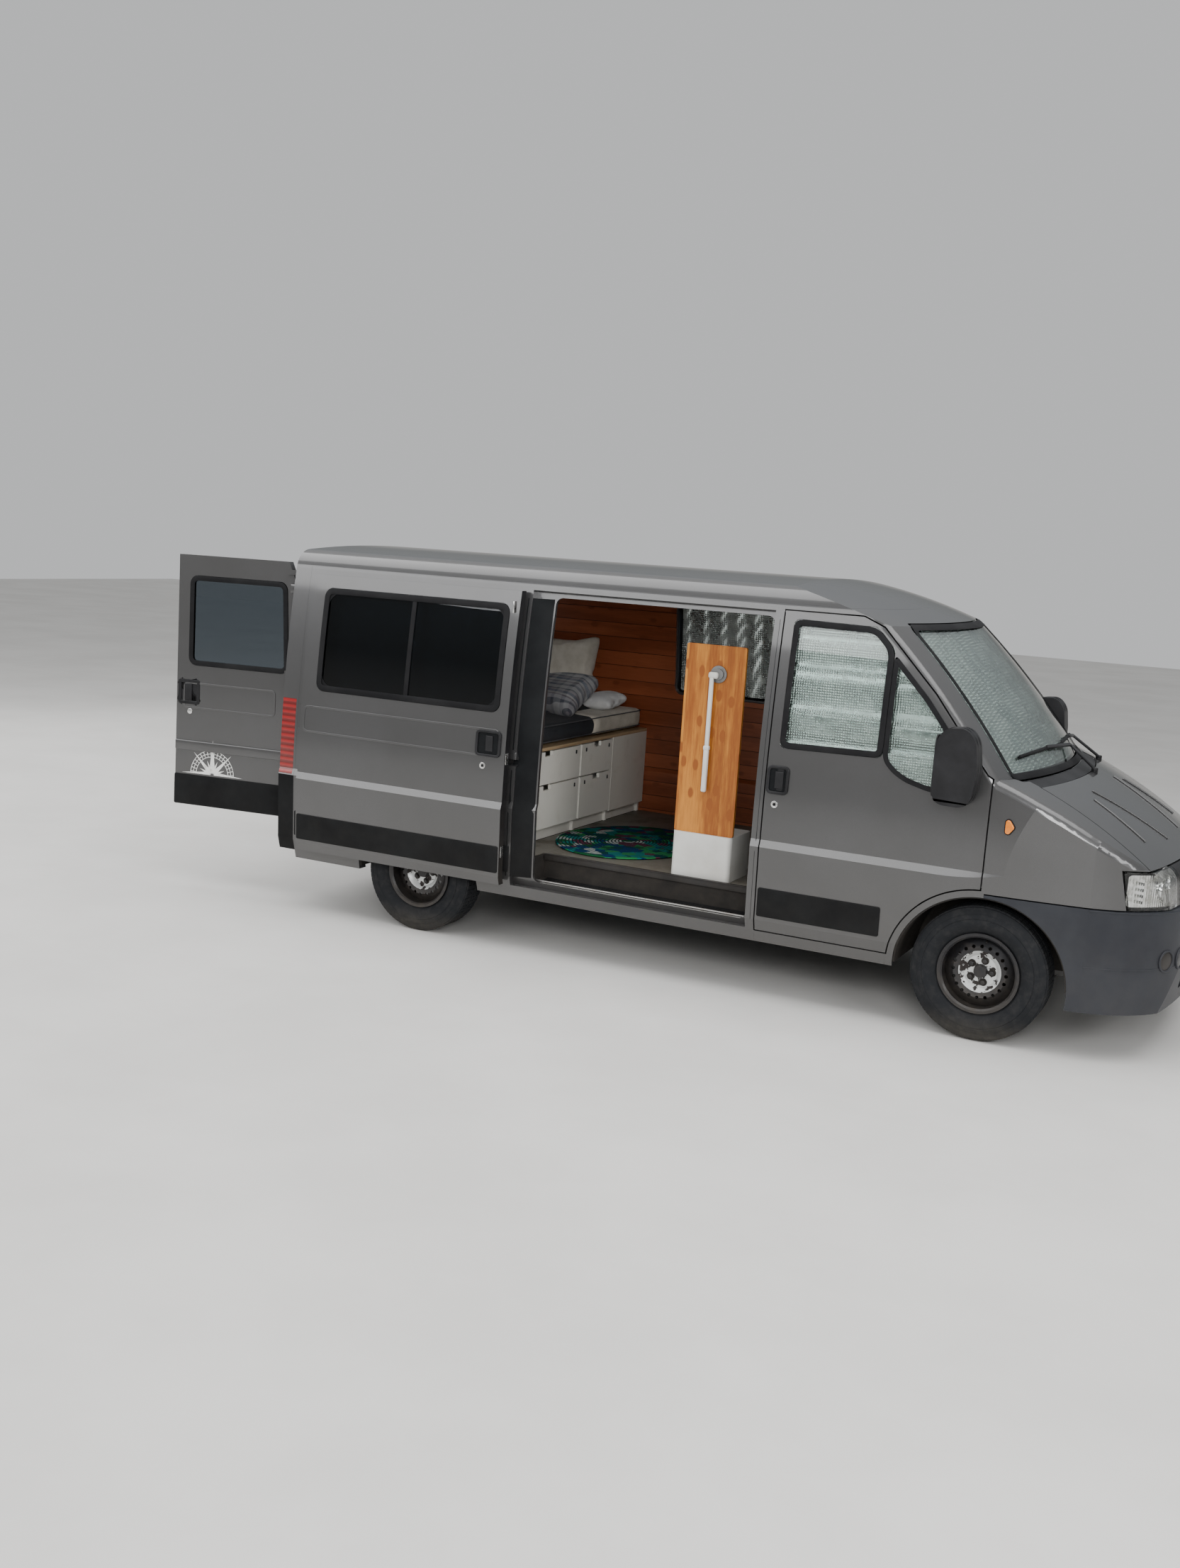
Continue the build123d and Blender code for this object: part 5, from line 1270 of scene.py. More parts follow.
# %% Foil
tree, shader = finish("bubble_foil", (0.78, 0.81, 0.81), 0.3, metallic=0.85)
where = object_place(tree)
bubbles = texture(tree, "TexVoronoi", where, {"Scale": 78, "Randomness": 0.12}, feature="F1")
creases = noise(tree, where, 7, 8, 0.68)
# The colour follows the relief: each bubble darkens towards its rim, painted shade between the bubbles, and
# the creases make lighter and darker patches, painted light and shade on the folds.
dimple_and_shade = between(tree, bubbles.outputs["Distance"], 0.1, 0.55)
mottling_and_crease_light = mixed(tree, between(tree, creases, 0.3, 0.7), (0.62, 0.67, 0.65), (0.86, 0.90, 0.87))
surface(tree, shader, mixed(tree, number(tree, "MULTIPLY", dimple_and_shade, 0.55), mottling_and_crease_light, (0.30, 0.36, 0.35)),
        between(tree, creases, 0.35, 0.65, 0.20, 0.36))
relief = number(tree, "ADD", number(tree, "MULTIPLY", dimple_and_shade, -1.0), number(tree, "MULTIPLY", creases, 0.35))
roughen(tree, shader, relief, 0.9, 0.005)


def pleated(piece, axis, run, spacing, depth):
    """Fold a sheet to and fro in even pleats: points near every other line move along an axis."""
    with editing(piece, "VERT"):
        for hand in (1, -1):
            bpy.ops.mesh.select_all(action="DESELECT")
            waves = 2 * math.pi * 1000 / spacing
            choose(piece, "verts", lambda vert: hand * math.sin(waves * vert.co[run]) > 0.6)
            shift = [0, 0, 0]
            shift[axis] = hand * depth / 1000
            bpy.ops.transform.translate(value=shift)
    return piece


def crumpled(piece, axis, depth, size):
    """Push the points of a sheet to and fro along an axis, like creased foil; its edges move too."""
    creases = bpy.data.textures.new(piece.name + "_creases", "CLOUDS")
    creases.noise_scale = size
    creases.noise_depth = 3
    only(piece)
    modifier = piece.modifiers.new("creases", "DISPLACE")
    modifier.texture = creases
    modifier.texture_coords = "LOCAL"
    modifier.direction = "XYZ"[axis]
    modifier.strength = depth / 1000
    modifier.mid_level = 0.5
    bpy.ops.object.modifier_apply(modifier=modifier.name)
    return piece


def foil_mat(name, outline, node_name, axis, lift, body, view="side", level=BESIDE, step=28, pleat=190,
             pleat_run=2):
    """A foil mat cut to an outline and laid inside a pane."""
    mat = plate(name, outline, view, level, 12)
    sliced(sliced(mat, 2, step), 0 if view == "side" else 1, step)
    laid_on(mat, node_name, axis, lift)
    pleated(mat, axis, pleat_run, pleat, 5)
    crumpled(mat, axis, 5, 0.11)
    settle(mat, "bubble_foil", body, smooth=60)
    return mat


for side, sign in SIDES.items():
    door = "cab_door_" + side
    glass = "cab_door_glass_" + side
    foil_mat("foil_cab_pane_" + side, grown(CAB_PANE, -6), glass, 1, -16, door, level=sign * BESIDE)
    foil_mat("foil_quarter_pane_" + side, grown(QUARTER_PANE, -6), glass, 1, -16, door, level=sign * BESIDE)
foil_mat("foil_windscreen", grown(SCREEN_PANE, -4), "windscreen", 0, -22, "body", "front", AHEAD, 40)
foil_mat("foil_side_pane_left", grown(SIDE_PANE, -14), "side_window_left", 1, -26, "body", step=22, pleat=118,
         pleat_run=0)
print("foil mats")

# %% Quarter glass
# The quarter glass reaches below the waist of the main pane, so it laps over the door's skin
QUARTER_LAP = [(-557, 1318), (-557, 1830), (-361, 1632), (-104, 1316), (-150, 1230), (-229, 1184),
               (-316, 1190), (-437, 1222), (-507, 1262)]
QUARTER_LOW = [(-545, 1350), (-545, 1314), (-498, 1268), (-433, 1232), (-316, 1202), (-233, 1196),
               (-158, 1240), (-122, 1312), (-138, 1350)]


def on_door_or_glass(piece, side, sign, lift):
    """Press each point onto the cab door's skin or its glass, whichever lies outermost there."""
    levels = {"cab_door_" + side: lift, "cab_door_glass_" + side: lift + GLASS_SET_IN}
    places = [vert.co.copy() for vert in piece.data.vertices]
    reach = {}
    for index, place in enumerate(places):
        start = Vector((place.x, sign * BESIDE / 1000, place.z))
        met = [(panel_spot(name, start, (0, -sign, 0)), high) for name, high in levels.items()]
        found = [sign * where_met.y + high / 1000 for where_met, high in met if where_met]
        if found:
            reach[index] = max(found)
    with editing(piece, "VERT"):
        for index, place in enumerate(places):
            nearest = min(reach, key=lambda other: (places[other] - place).length)
            dragged(piece, index, (place.x, sign * reach[nearest], place.z))
    return piece


for side, sign in SIDES.items():
    door = "cab_door_" + side
    ring = edge_band(plate("quarter_seal_" + side, QUARTER_LAP, "side", sign * BESIDE, 30), 24)
    on_door_or_glass(sliced(sliced(ring, 2, 60), 0, 60), side, sign, 0.8)
    settle(thickened(ring, 5, (0, sign, 0), even=False), "rubber_seal", door)
    mat = plate("foil_quarter_low_" + side, QUARTER_LOW, "side", sign * BESIDE, 12)
    on_door_or_glass(sliced(sliced(mat, 2, 24), 0, 40), side, sign, 1.2)
    pane = copied(mat, "quarter_glass_" + side, Matrix.Translation(Vector((0, sign * 0.0012, 0))))
    settle(thickened(pane, 2, (0, sign, 0)), "clear_glass", door)
    settle(mat, "bubble_foil", door, smooth=60)
print("quarter glass")

# %% Wipers
WIPERS = [
    # name, pivot (y, z), bend (y, z), blade middle (y, z), blade tip (y, z), blade other end (y, z)
    ("right", (110, 1243), (180, 1345), (-290, 1374), (-654, 1362), (70, 1366)),
    ("left", (715, 1240), (640, 1345), (330, 1376), (60, 1374), (650, 1360)),
]
SCREEN_NORMAL = Vector((0.6, 0, 0.8))
FRONT_NODES = ("windscreen", "grille_and_scuttle", "bonnet", "front_wings", "cab_frame")


def from_front(y, z, lift):
    """The outermost place of the nose or the windscreen at a distance across and a height."""
    found = [panel_spot(name, spot(AHEAD, y, z), (-1, 0, 0)) for name in FRONT_NODES]
    nearest = max((place for place in found if place), key=lambda place: place.x)
    return nearest + SCREEN_NORMAL * lift / 1000


def rod(name, places, widths, height):
    """A flat bar through a few places, as wide as the table says and bevelled."""
    bars = []
    for start, end, width in zip(places, places[1:], widths):
        length = (end - start).length
        bpy.ops.object.select_all(action="DESELECT")
        bpy.ops.mesh.primitive_cube_add(size=1)
        piece = bpy.context.object
        along = (end - start).normalized()
        across = along.cross(SCREEN_NORMAL).normalized()
        upright = across.cross(along)
        piece.matrix_world = Matrix.LocRotScale(
            (start + end) / 2, Matrix((along, across, upright)).transposed().to_quaternion(),
            Vector((length + height / 2000, width / 1000, height / 1000)))
        bpy.ops.object.transform_apply(location=True, rotation=True, scale=True)
        bars.append(rounded_off(piece, min(width, height) * 0.3, 2))
    return joined(name, bars)


for name, pivot, bend, middle, tip, end in WIPERS:
    arm = rod("wiper_arm_" + name, [from_front(*pivot, 16), from_front(*bend, 26), from_front(*middle, 24)],
              (30, 20), 12)
    settle(arm, "black_plastic")
    blade = rod("wiper_blade_" + name, [from_front(*tip, 9), from_front(*middle, 13), from_front(*end, 9)],
                (16, 16), 20)
    settle(blade, "rubber_seal")
    knob = cylinder("wiper_pivot_" + name, from_front(*pivot, 8), 17, 34, (0, 0, 0), 24)
    settle(rounded_off(knob, 4, 3), "black_plastic")
print("wipers")

# %% Mirrors and door pulls
tree, shader = finish("mirror_face", (0.82, 0.84, 0.84), 0.03, metallic=1.0)
where = object_place(tree)
smears = between(tree, noise(tree, where, 18, 6, 0.65), 0.5, 0.75)
surface(tree, shader, mixed(tree, smears, (0.84, 0.86, 0.86), (0.60, 0.60, 0.57)),
        between(tree, smears, 0, 1, 0.02, 0.16))
MIRROR_OUTLINE = [(1052, 1200), (1052, 1478), (1132, 1478), (1132, 1200)]
MIRROR_SHELL = [(-74, 1200), (-58, 1340), (-74, 1476), (-124, 1532), (-222, 1524), (-262, 1462), (-262, 1205),
                (-236, 1162), (-110, 1158)]
PULL = [(-1050, 1097), (-1083, 1097), (-1083, 1213), (-1050, 1213)]
for side, sign in SIDES.items():
    body = "cab_door_" + side
    outline = [(sign * a, b) for a, b in MIRROR_OUTLINE]
    face = plate("mirror_face_" + side, outline, "front", -262, 30)
    settle(thickened(face, 5, (-1, 0, 0), 1.5), "mirror_face", body)
    brow = edge_band(plate("mirror_frame_" + side, grown(outline, 9), "front", -260, 38), 11)
    settle(thickened(brow, 7, (-1, 0, 0), 3), "black_plastic", body)
    gaiter = bar("mirror_arm_" + side, (-206, -104), (sign * 900, sign * 1050), (1243, 1337), 22, 4)
    settle(gaiter, "black_plastic", body)
    seams = []
    for level, width in ((1062, 4), (1110, 3)):
        line = edge_band(plate("mirror_seam", MIRROR_SHELL, "side", sign * level, 22), 3)
        seams.append(thickened(line, width, (0, sign, 0)))
    settle(joined("mirror_seams_" + side, seams), "rubber_seal", body)
    shell = plate("mirror_shell_" + side, MIRROR_SHELL, "side", sign * 1036, 30, 6)
    rounded_off(thickened(shell, 112, (0, sign, 0)), 46, 8, 50)
    foot = bar("mirror_foot_" + side, (-200, -110), (sign * 918, sign * 1060), (1250, 1330), 20, 4)
    pull = sliced(plate("pull_" + side, PULL, "side", sign * BESIDE, 8), 2, 20)
    thickened(laid_on(pull, "cab_door_fittings_" + side, 1, 0), 4, (0, sign, 0), 2)
    shell = settle(joined("mirror_shell_" + side, [shell, foot, pull]), "black_plastic", body, smooth=50)
    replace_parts(shell, "cab_door_fittings_" + side)
print("mirrors and door pulls")

# %% [markdown]
# ## The doorway
# The sliding door stands open, so the strikers, the sill and the ribbed step show. A black strip
# lies on each pillar of the opening: the rear one is painted shade, a dark sheet over the painted
# pillar where the gap beside the slid door falls dark, and the front one is the doorway's black
# rubber reveal. The rubber on the door's front edge is a copy of that edge, pulled off the panel's
# own mesh and thickened outwards.

# %% Doorway trim
# Black strips on the pillars: the rear one is painted shade over the painted pillar, standing for the dark
# gap beside the slid door; the front one is the black rubber reveal.
JAMBS = [("rear", -2608, -2470), ("front", -1198, -1163)]
for name, start, end in JAMBS:
    edges = [(start, 420), (end, 420), (end, 1948), (start, 1948)]
    dark_strip = sliced(plate("doorway_rubber_and_shade_strip_" + name, edges, "side", -BESIDE), 2, 60)
    laid_on(dark_strip, "side_panel_right", 1, 0)
    settle(thickened(dark_strip, 2, (0, -1, 0), 0.6), "strip_plastic")


def peeled(name, node_name, test, thickness, finish_name, body="body"):
    """A cover over chosen faces of a CAD node: a merged copy of them, thickened outwards."""
    only(frame["nodes"][node_name])
    bpy.ops.object.duplicate()
    cover = named(bpy.context.object, name)
    bpy.ops.object.transform_apply(location=True, rotation=True, scale=True)
    with editing(cover, "VERT"):
        bpy.ops.mesh.select_all(action="SELECT")
        bpy.ops.mesh.remove_doubles(threshold=0.0001)
    with editing(cover):
        choose(cover, "faces", lambda face: not test(face))
        bpy.ops.mesh.delete(type="FACE")
    modified(cover, "SOLIDIFY", thickness=thickness / 1000, offset=1.0)
    return settle(cover, finish_name, body)


door_edge = spot(-2640, 0, 0).x
peeled("sliding_door_edge", "sliding_door",
       lambda face: face.normal.x > 0.9 and face.calc_center_median().x > door_edge, 1.5, "rubber_seal")
strikers = [bar("striker", (-2620, -2611), (-1046, -1018), (level - 32, level + 32), 3)
            for level in (560, 1075, 1900)]
settle(joined("door_strikers", strikers), "bright_metal")
sill = bar("sill_strip", (-2462, -1212), (-812, -786), (530, 541), 3, 3)
lip = bar("sill_lip", (-2462, -1212), (-812, -808), (506, 541), 1.5)
settle(joined("sill_strip", [sill, lip]), "black_plastic")
tread_ribs = [bar("tread_rib", (-2440, -1230), (y, y + 10), (400, 404), 1.5) for y in range(-884, -800, 20)]
settle(joined("step_tread", tread_ribs), "strip_plastic")
edge = bar("step_edge", (-2462, -1212), (-903, -889), (398, 408), 3, 2)
settle(edge, "alloy_sill")
print("doorway")

# %% [markdown]
# ## Lamps
# Behind a headlamp's clear lens there is a bright housing: a ribbed indicator section on the
# outer side, and two round reflectors with their bulbs. They are modelled inside the lens.

# %% Lamp finishes
tree, shader = finish("reflector", (0.86, 0.86, 0.84), 0.12, metallic=1.0)
where = object_place(tree)
haze = between(tree, noise(tree, where, 20, 5, 0.6), 0.35, 0.7)
surface(tree, shader, mixed(tree, haze, (0.74, 0.75, 0.75), (0.50, 0.50, 0.47)),
        between(tree, haze, 0, 1, 0.08, 0.3))
flutes = texture(tree, "TexWave", where, {"Scale": 32}, wave_type="BANDS", bands_direction="Y")
roughen(tree, shader, flutes.outputs["Fac"], 0.22, 0.003)
print("reflector finish")

# %% Headlamp internals
for side, sign in SIDES.items():
    edges = [(sign * 560, 756), (sign * 560, 908), (sign * 860, 908), (sign * 860, 756)]
    housing = plate("lamp_housing_" + side, edges, "front", AHEAD, 14)
    laid_on(sliced(sliced(housing, 1, 22), 2, 40), "headlamps", 0, -24)
    thickened(housing, 2, (1, 0, 0))
    settle(housing, "reflector")
    ribs = [bar("rib", (600, 602), (sign * 770, sign * 850), (level, level + 14), 0.5)
            for level in range(772, 772 + 4 * 29, 29)]
    for rib in ribs:
        middle = middle_of(rib)
        lens_place = panel_spot("headlamps", Vector((spot(AHEAD, 0, 0).x, middle.y, middle.z)), (-1, 0, 0))
        carried(rib, Matrix.Translation(Vector((lens_place.x - 0.022 - middle.x, 0, 0))))
    settle(joined("lamp_ribs_" + side, ribs), "reflector")
    for index, (y, radius) in enumerate(((625, 58), (722, 46))):
        rim = panel_spot("headlamps", spot(AHEAD, sign * y, 832), (-1, 0, 0))
        bowl = ball("lamp_bowl_%d_%s" % (index, side), rim + Vector((-0.014, 0, 0)), radius, 40, 20)
        with editing(bowl):
            bpy.ops.mesh.select_all(action="SELECT")
            bpy.ops.mesh.bisect(plane_co=rim + Vector((-0.018, 0, 0)), plane_no=(1, 0, 0), clear_outer=True)
        modified(bowl, "SOLIDIFY", thickness=0.002, offset=1.0)
        settle(bowl, "reflector", smooth=60)
        bulb = ball("lamp_bulb_%d_%s" % (index, side), rim + Vector((-0.034, 0, 0)), 11, 20, 12)
        settle(bulb, "lamp_glass", smooth=60)
print("headlamps")

# %% Fog recesses and bumper lines
FOG_HEIGHT = 489
FOG_SPOTS = [
    # distance across, lean in degrees, finish of the round blank
    (682, 28, "black_plastic"),
    (560, 14, "lamp_glass"),
]
for side, sign in SIDES.items():
    for index, (y, lean, finish_name) in enumerate(FOG_SPOTS):
        centre = panel_spot("front_bumper", spot(AHEAD, sign * y, FOG_HEIGHT), (-1, 0, 0))
        bpy.ops.object.select_all(action="DESELECT")
        bpy.ops.mesh.primitive_torus_add(major_radius=0.050, minor_radius=0.006, major_segments=40,
                                         minor_segments=12, location=centre + Vector((0.001, 0, 0)),
                                         rotation=(0, math.radians(90), sign * math.radians(lean)))
        ring = named(bpy.context.object, "fog_ring_%d_%s" % (index, side))
        bpy.ops.object.transform_apply(location=True, rotation=True)
        settle(ring, "bumper_plastic", smooth=60)
        name = "fog_blank_%d_%s" % (index, side)
        blank = ball(name, centre - Vector((0.001, 0, 0)), 46, 32, 16, 0.14, sign * lean)
        settle(blank, finish_name, smooth=60)
for level, height in ((722, 8), (452, 6)):
    for side, sign in SIDES.items():
        edges = [(sign * 20, level), (sign * 940, level), (sign * 940, level + height),
                 (sign * 20, level + height)]
        line = plate("bumper_line_%d_%s" % (level, side), edges, "front", AHEAD)
        laid_on(sliced(line, 1, 45), "front_bumper", 0, -1)
        settle(thickened(line, 4, (1, 0, 0), 1.8), "bumper_plastic")
nose = panel_spot("front_bumper", spot(AHEAD, 0, 600), (-1, 0, 0))
nose_x = (nose.x - FRONT_AXLE) * 1000
settle(bar("number_plate_front", (nose_x - 6, nose_x + 4), (-260, 260), (548, 658), 2), "white_plastic")
print("bumper details")

# %% Bonnet ridges
RIDGES = [
    # name, rear end (x, y), front end (x, y)
    ("inner", (338, 330), (705, 205)),
    ("outer", (370, 455), (640, 524)),
]
RIDGE_HALF = 17
for name, start, end in RIDGES:
    for side, sign in SIDES.items():
        edges = [(x, sign * y + edge * RIDGE_HALF) for (x, y), edge in
                 ((start, -1), (end, -1), (end, 1), (start, 1))]
        ridge = plate("bonnet_ridge_%s_%s" % (name, side), edges, "plan", 1500, 6)
        laid_on(sliced(ridge, 0, 24), "bonnet", 2, -1.5)
        thickened(ridge, 9, (0.3, 0, 1), 8, 4)
        settle(ridge, "body_paint", "bonnet")
print("bonnet ridges")

# %% [markdown]
# ## Rear doors
# The open rear doors show their outsides to the camera: a black lower third and half of a
# compass rose, a common ornament on campers, cut from white film: three rings, ticks between
# them, and long and short points. Inside they have door cards and a pull strap.

# %% Compass rose
tree, shader = finish("white_film", (0.78, 0.78, 0.76), 0.4)
where = object_place(tree)
aged = between(tree, noise(tree, where, 30, 6, 0.65), 0.5, 0.72)
surface(tree, shader, mixed(tree, aged, (0.80, 0.80, 0.78), (0.52, 0.51, 0.48)),
        between(tree, aged, 0, 1, 0.35, 0.6))

ROSE_CENTRE = (-265, 700)
ROSE_RADIUS = 150
FILM_FACE = REAR_DOOR_OUTER - 0.2


def on_dial(radius, degrees):
    """A point of the dial, from the middle of the rose; 0 degrees is straight up."""
    angle = math.radians(degrees)
    return (ROSE_CENTRE[0] + radius * math.sin(angle), ROSE_CENTRE[1] + radius * math.cos(angle))


# reach in dial radii, half angle, radius of the shoulders, for the four steps of each quarter
RAYS = [(1.42, 21, 48), (0.62, 15, 34), (1.24, 15, 48), (0.62, 15, 34)]
RING_LINE = 3.5
rose = []
for step in range(-4, 5):
    bearing = step * 22.5
    reach, half, shoulder = RAYS[abs(step) % 4]
    for hand in (-1, 1):
        if abs(bearing + hand * half) <= 90:
            rose.append([on_dial(ROSE_RADIUS * reach, bearing), on_dial(shoulder, bearing + hand * half),
                         on_dial(10, bearing)])
for step in range(-9, 9):
    low = step * 10
    inner = ROSE_RADIUS * 0.74
    rose.append([on_dial(inner, low + 4), on_dial(ROSE_RADIUS, low + 4), on_dial(ROSE_RADIUS, low + 5.6),
                 on_dial(inner, low + 5.6)])
for share in (0.74, 0.87, 1.0):
    for step in range(-9, 9):
        low, radius = step * 10, ROSE_RADIUS * share
        outer = radius + RING_LINE
        rose.append([on_dial(radius, low), on_dial(outer, low), on_dial(outer, low + 10),
                     on_dial(radius, low + 10)])
rays = [plate("ray", points, "front", FILM_FACE) for points in rose]
rose_piece = thickened(joined("compass_rose", rays), 0.5, (-1, 0, 0))
settle(opened(rose_piece, "right"), "white_film", "rear_door_right")
print("compass rose of", len(rose), "cut shapes")

# %% Rear door insides
CARDS = (("upper", 860, 1330), ("lower", 560, 815))
LINING_LEVEL = REAR_DOOR_INNER + 0.5
for side, sign in SIDES.items():
    body = "rear_door_" + side
    for name, low, high in CARDS:
        edges = on_side([(-745, low), (-95, low), (-95, high), (-745, high)], side)
        card = plate("door_card_%s_%s" % (name, side), edges, "front", LINING_LEVEL, 30)
        thickened(card, 5, (1, 0, 0), 2.5, 3)
        with editing(card):
            choose(card, "faces", lambda face: face.normal.x > 0.95 and face.calc_area() > 0.05)
            bpy.ops.mesh.inset(thickness=0.035)
            bpy.ops.mesh.inset(thickness=0.008, depth=-0.003)
        settle(opened(card, side), "dash_plastic", body)
    strap = bar("pull_strap_" + side, (LINING_LEVEL + 4, LINING_LEVEL + 26), (sign * 120, sign * 145),
                (1010, 1180), 6, 3)
    settle(opened(strap, side), "black_plastic", body)
    edges = on_side([(-808, 500), (-2, 500), (-2, 1958), (-808, 1958)], side)
    lip = edge_band(plate("rear_door_seal_" + side, edges, "front", LINING_LEVEL, 18), 16)
    settle(opened(thickened(lip, 7, (1, 0, 0), 3), side), "rubber_seal", body)
    hinges = []
    for level in (700, 1330, 1880):
        hinges.append(bar("hinge", (REAR_FACE - 26, REAR_FACE + 40), (sign * 842, sign * 868),
                          (level - 34, level + 34), 5, 3))
        leaf = bar("hinge_leaf_%d_%s" % (level, side), (REAR_DOOR_OUTER - 9, REAR_DOOR_OUTER),
                   (sign * 772, sign * 815), (level - 26, level + 26), 3)
        settle(opened(leaf, side), "body_paint", body)
    settle(joined("rear_hinges_" + side, hinges), "cast_metal")
print("rear door insides")

# %% Rear lamps and plate
for side, sign in SIDES.items():
    covers = []
    for low, high in ((812, 936), (944, 1030), (1038, 1130), (1138, 1244)):
        edges = [(sign * 850, low), (sign * 972, low), (sign * 972, high), (sign * 850, high)]
        lens = plate("lens", edges, "front", REAR_FACE - 40, 8)
        laid_on(sliced(lens, 1, 20), "tail_lamps", 0, 0)
        covers.append(thickened(lens, 3, (-1, 0, 0), 1.4))
    settle(joined("tail_lens_" + side, covers), "tail_lamp_red")
    # A black bar across each rear corner is painted shade in the groove there.
    groove_shade = bar("corner_shade_line_" + side, (REAR_FACE - 2, REAR_FACE + 3), (sign * 846, sign * 960),
                 (628, 634), 1)
    settle(groove_shade, "rubber_seal")
blank = bar("number_plate_rear", (REAR_FACE - 27, REAR_FACE - 21), (-260, 260), (372, 476), 2)
settle(blank, "white_plastic")
print("rear lamps")

# %% [markdown]
# ## The living area
# Small dark catches sit in the drawer corners, and a rag rug lies on the floor. The mattress,
# the pillows and the cab seats are real padding: each starts as a thin closed form, is remeshed
# and blown up a little by a cloth simulation, and keeps its creases.

# %% Cloth finishes
CLOTHS = [
    # name, colour, shade colour, threads, roughness, sheen
    ("mattress_fabric", (0.005, 0.006, 0.011), (0.010, 0.012, 0.020), 1300, 0.9, 0.1),
    ("bedding", (0.60, 0.55, 0.46), (0.48, 0.43, 0.35), 1700, 0.88, 0.3),
    ("cream_cotton", (0.66, 0.62, 0.54), (0.54, 0.50, 0.42), 1800, 0.9, 0.3),
    ("white_cotton", (0.76, 0.76, 0.75), (0.62, 0.62, 0.62), 1800, 0.9, 0.3),
    ("seat_fabric", (0.055, 0.060, 0.070), (0.032, 0.034, 0.040), 900, 0.95, 0.3),
    ("piping", (0.010, 0.012, 0.018), (0.020, 0.022, 0.030), 1500, 0.8, 0.2),
]
for name, colour, shade, threads, rough, sheen in CLOTHS:
    tree, shader = finish(name, colour, rough, sheen_weight=sheen, sheen_roughness=0.5,
                          specular_ior_level=0.15)
    where = object_place(tree)
    weave = group_node(tree, weave_group, position=where, threads=threads)
    feed(tree, mixed(tree, weave.outputs["Shade"], colour, shade), shader.inputs["Base Color"])
    rumple = number(tree, "ADD", number(tree, "MULTIPLY", weave.outputs["Height"], 0.25),
                    number(tree, "MULTIPLY", noise(tree, where, 13, 4, 0.5), 2.2))
    roughen(tree, shader, rumple, 0.55, 0.006)

tree, shader = finish("plaid_cotton", (0.5, 0.5, 0.5), 0.9, sheen_weight=0.3, sheen_roughness=0.5,
                      specular_ior_level=0.15)
where = object_place(tree)
warp = texture(tree, "TexNoise", where, {"Scale": 5})
shift = vector_math(tree, "MULTIPLY", warp.outputs["Color"], (0.05, 0.05, 0.05))[0]
split = coordinates(tree, vector_math(tree, "ADD", where, shift)[0])
STRIPES = [
    # place in the repeat, colour
    (0.0, (0.42, 0.42, 0.43)), (0.12, (0.05, 0.06, 0.09)), (0.24, (0.34, 0.34, 0.36)),
    (0.38, (0.12, 0.09, 0.11)), (0.46, (0.46, 0.46, 0.46)), (0.58, (0.06, 0.08, 0.13)),
    (0.74, (0.26, 0.24, 0.26)), (0.86, (0.03, 0.04, 0.06)), (0.93, (0.44, 0.44, 0.45)),
]


def stripes(value, repeat):
    """Bands of the table's colours, one after the other."""
    bands_ramp = add_node(tree, "ValToRGB")
    bands_ramp.color_ramp.interpolation = "CONSTANT"
    fill_ramp(bands_ramp, STRIPES)
    feed(tree, number(tree, "FRACT", number(tree, "DIVIDE", value, repeat), 0), bands_ramp.inputs["Fac"])
    return bands_ramp.outputs["Color"]


along = number(tree, "ADD", split["Y"], number(tree, "MULTIPLY", split["Z"], 0.7))
both = mixed(tree, 0.32, stripes(along, 0.19), stripes(split["X"], 0.27))
weave = group_node(tree, weave_group, position=where, threads=1500.0)
feed(tree, mixed(tree, number(tree, "MULTIPLY", weave.outputs["Shade"], 0.35), both, (0.12, 0.12, 0.14)),
     shader.inputs["Base Color"])
rumple = number(tree, "ADD", number(tree, "MULTIPLY", weave.outputs["Height"], 0.25),
                number(tree, "MULTIPLY", noise(tree, where, 11, 4, 0.5), 2.2))
roughen(tree, shader, rumple, 0.55, 0.006)
print(len(CLOTHS) + 1, "cloths")

# %% Blowing up a pad
PAD_FRAMES = 20


def blown_up(piece, voxel, pressure, cap):
    """Remesh a closed form and let a cloth simulation swell it, no point further than the cap."""
    modified(piece, "REMESH", mode="VOXEL", voxel_size=voxel / 1000)
    start = [vert.co.copy() for vert in piece.data.vertices]
    only(piece)
    cloth = piece.modifiers.new("cloth", "CLOTH")
    cloth.settings.quality = 4
    cloth.settings.use_pressure = True
    cloth.settings.uniform_pressure_force = pressure
    cloth.settings.shrink_min = -0.06
    cloth.settings.effector_weights.gravity = 0
    cloth.settings.tension_stiffness = 12
    cloth.settings.bending_stiffness = 0.3
    cloth.point_cache.frame_start = 1
    cloth.point_cache.frame_end = PAD_FRAMES
    for frame_number in range(1, PAD_FRAMES + 1):
        bpy.context.scene.frame_set(frame_number)
    bpy.ops.object.modifier_apply(modifier=cloth.name)
    bpy.context.scene.frame_set(1)
    for vert, before in zip(piece.data.vertices, start):
        way = vert.co - before
        if way.length > cap / 1000:
            vert.co = before + way.normalized() * cap / 1000
    return modified(piece, "SUBSURF", levels=1, render_levels=1)


print("padding tool ready")

# %% Mattress
mattress = bar("mattress_pad", (-4068, -2684), (-846, 846), (1096, 1200), 22, 4)
blown_up(mattress, 24, 3.0, 11)
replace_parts(settle(mattress, "mattress_fabric", smooth=70), "mattress")
cover = bar("bedding_fold", (-2900, -2679), (190, 838), (1094, 1212), 24, 4)
blown_up(cover, 20, 3.0, 6)
settle(cover, "bedding", smooth=70)
for level in (1104, 1196):
    rim = [(-4066, -842), (-2676, -842), (-2676, 842), (-4066, 842)]
    cord_line = edge_band(plate("mattress_piping_%d" % level, rim, "plan", level, 26), 7)
    settle(thickened(cord_line, 6, (0, 0, 1), 2.8, 3), "piping")
print("mattress with", len(mattress.data.vertices), "points")

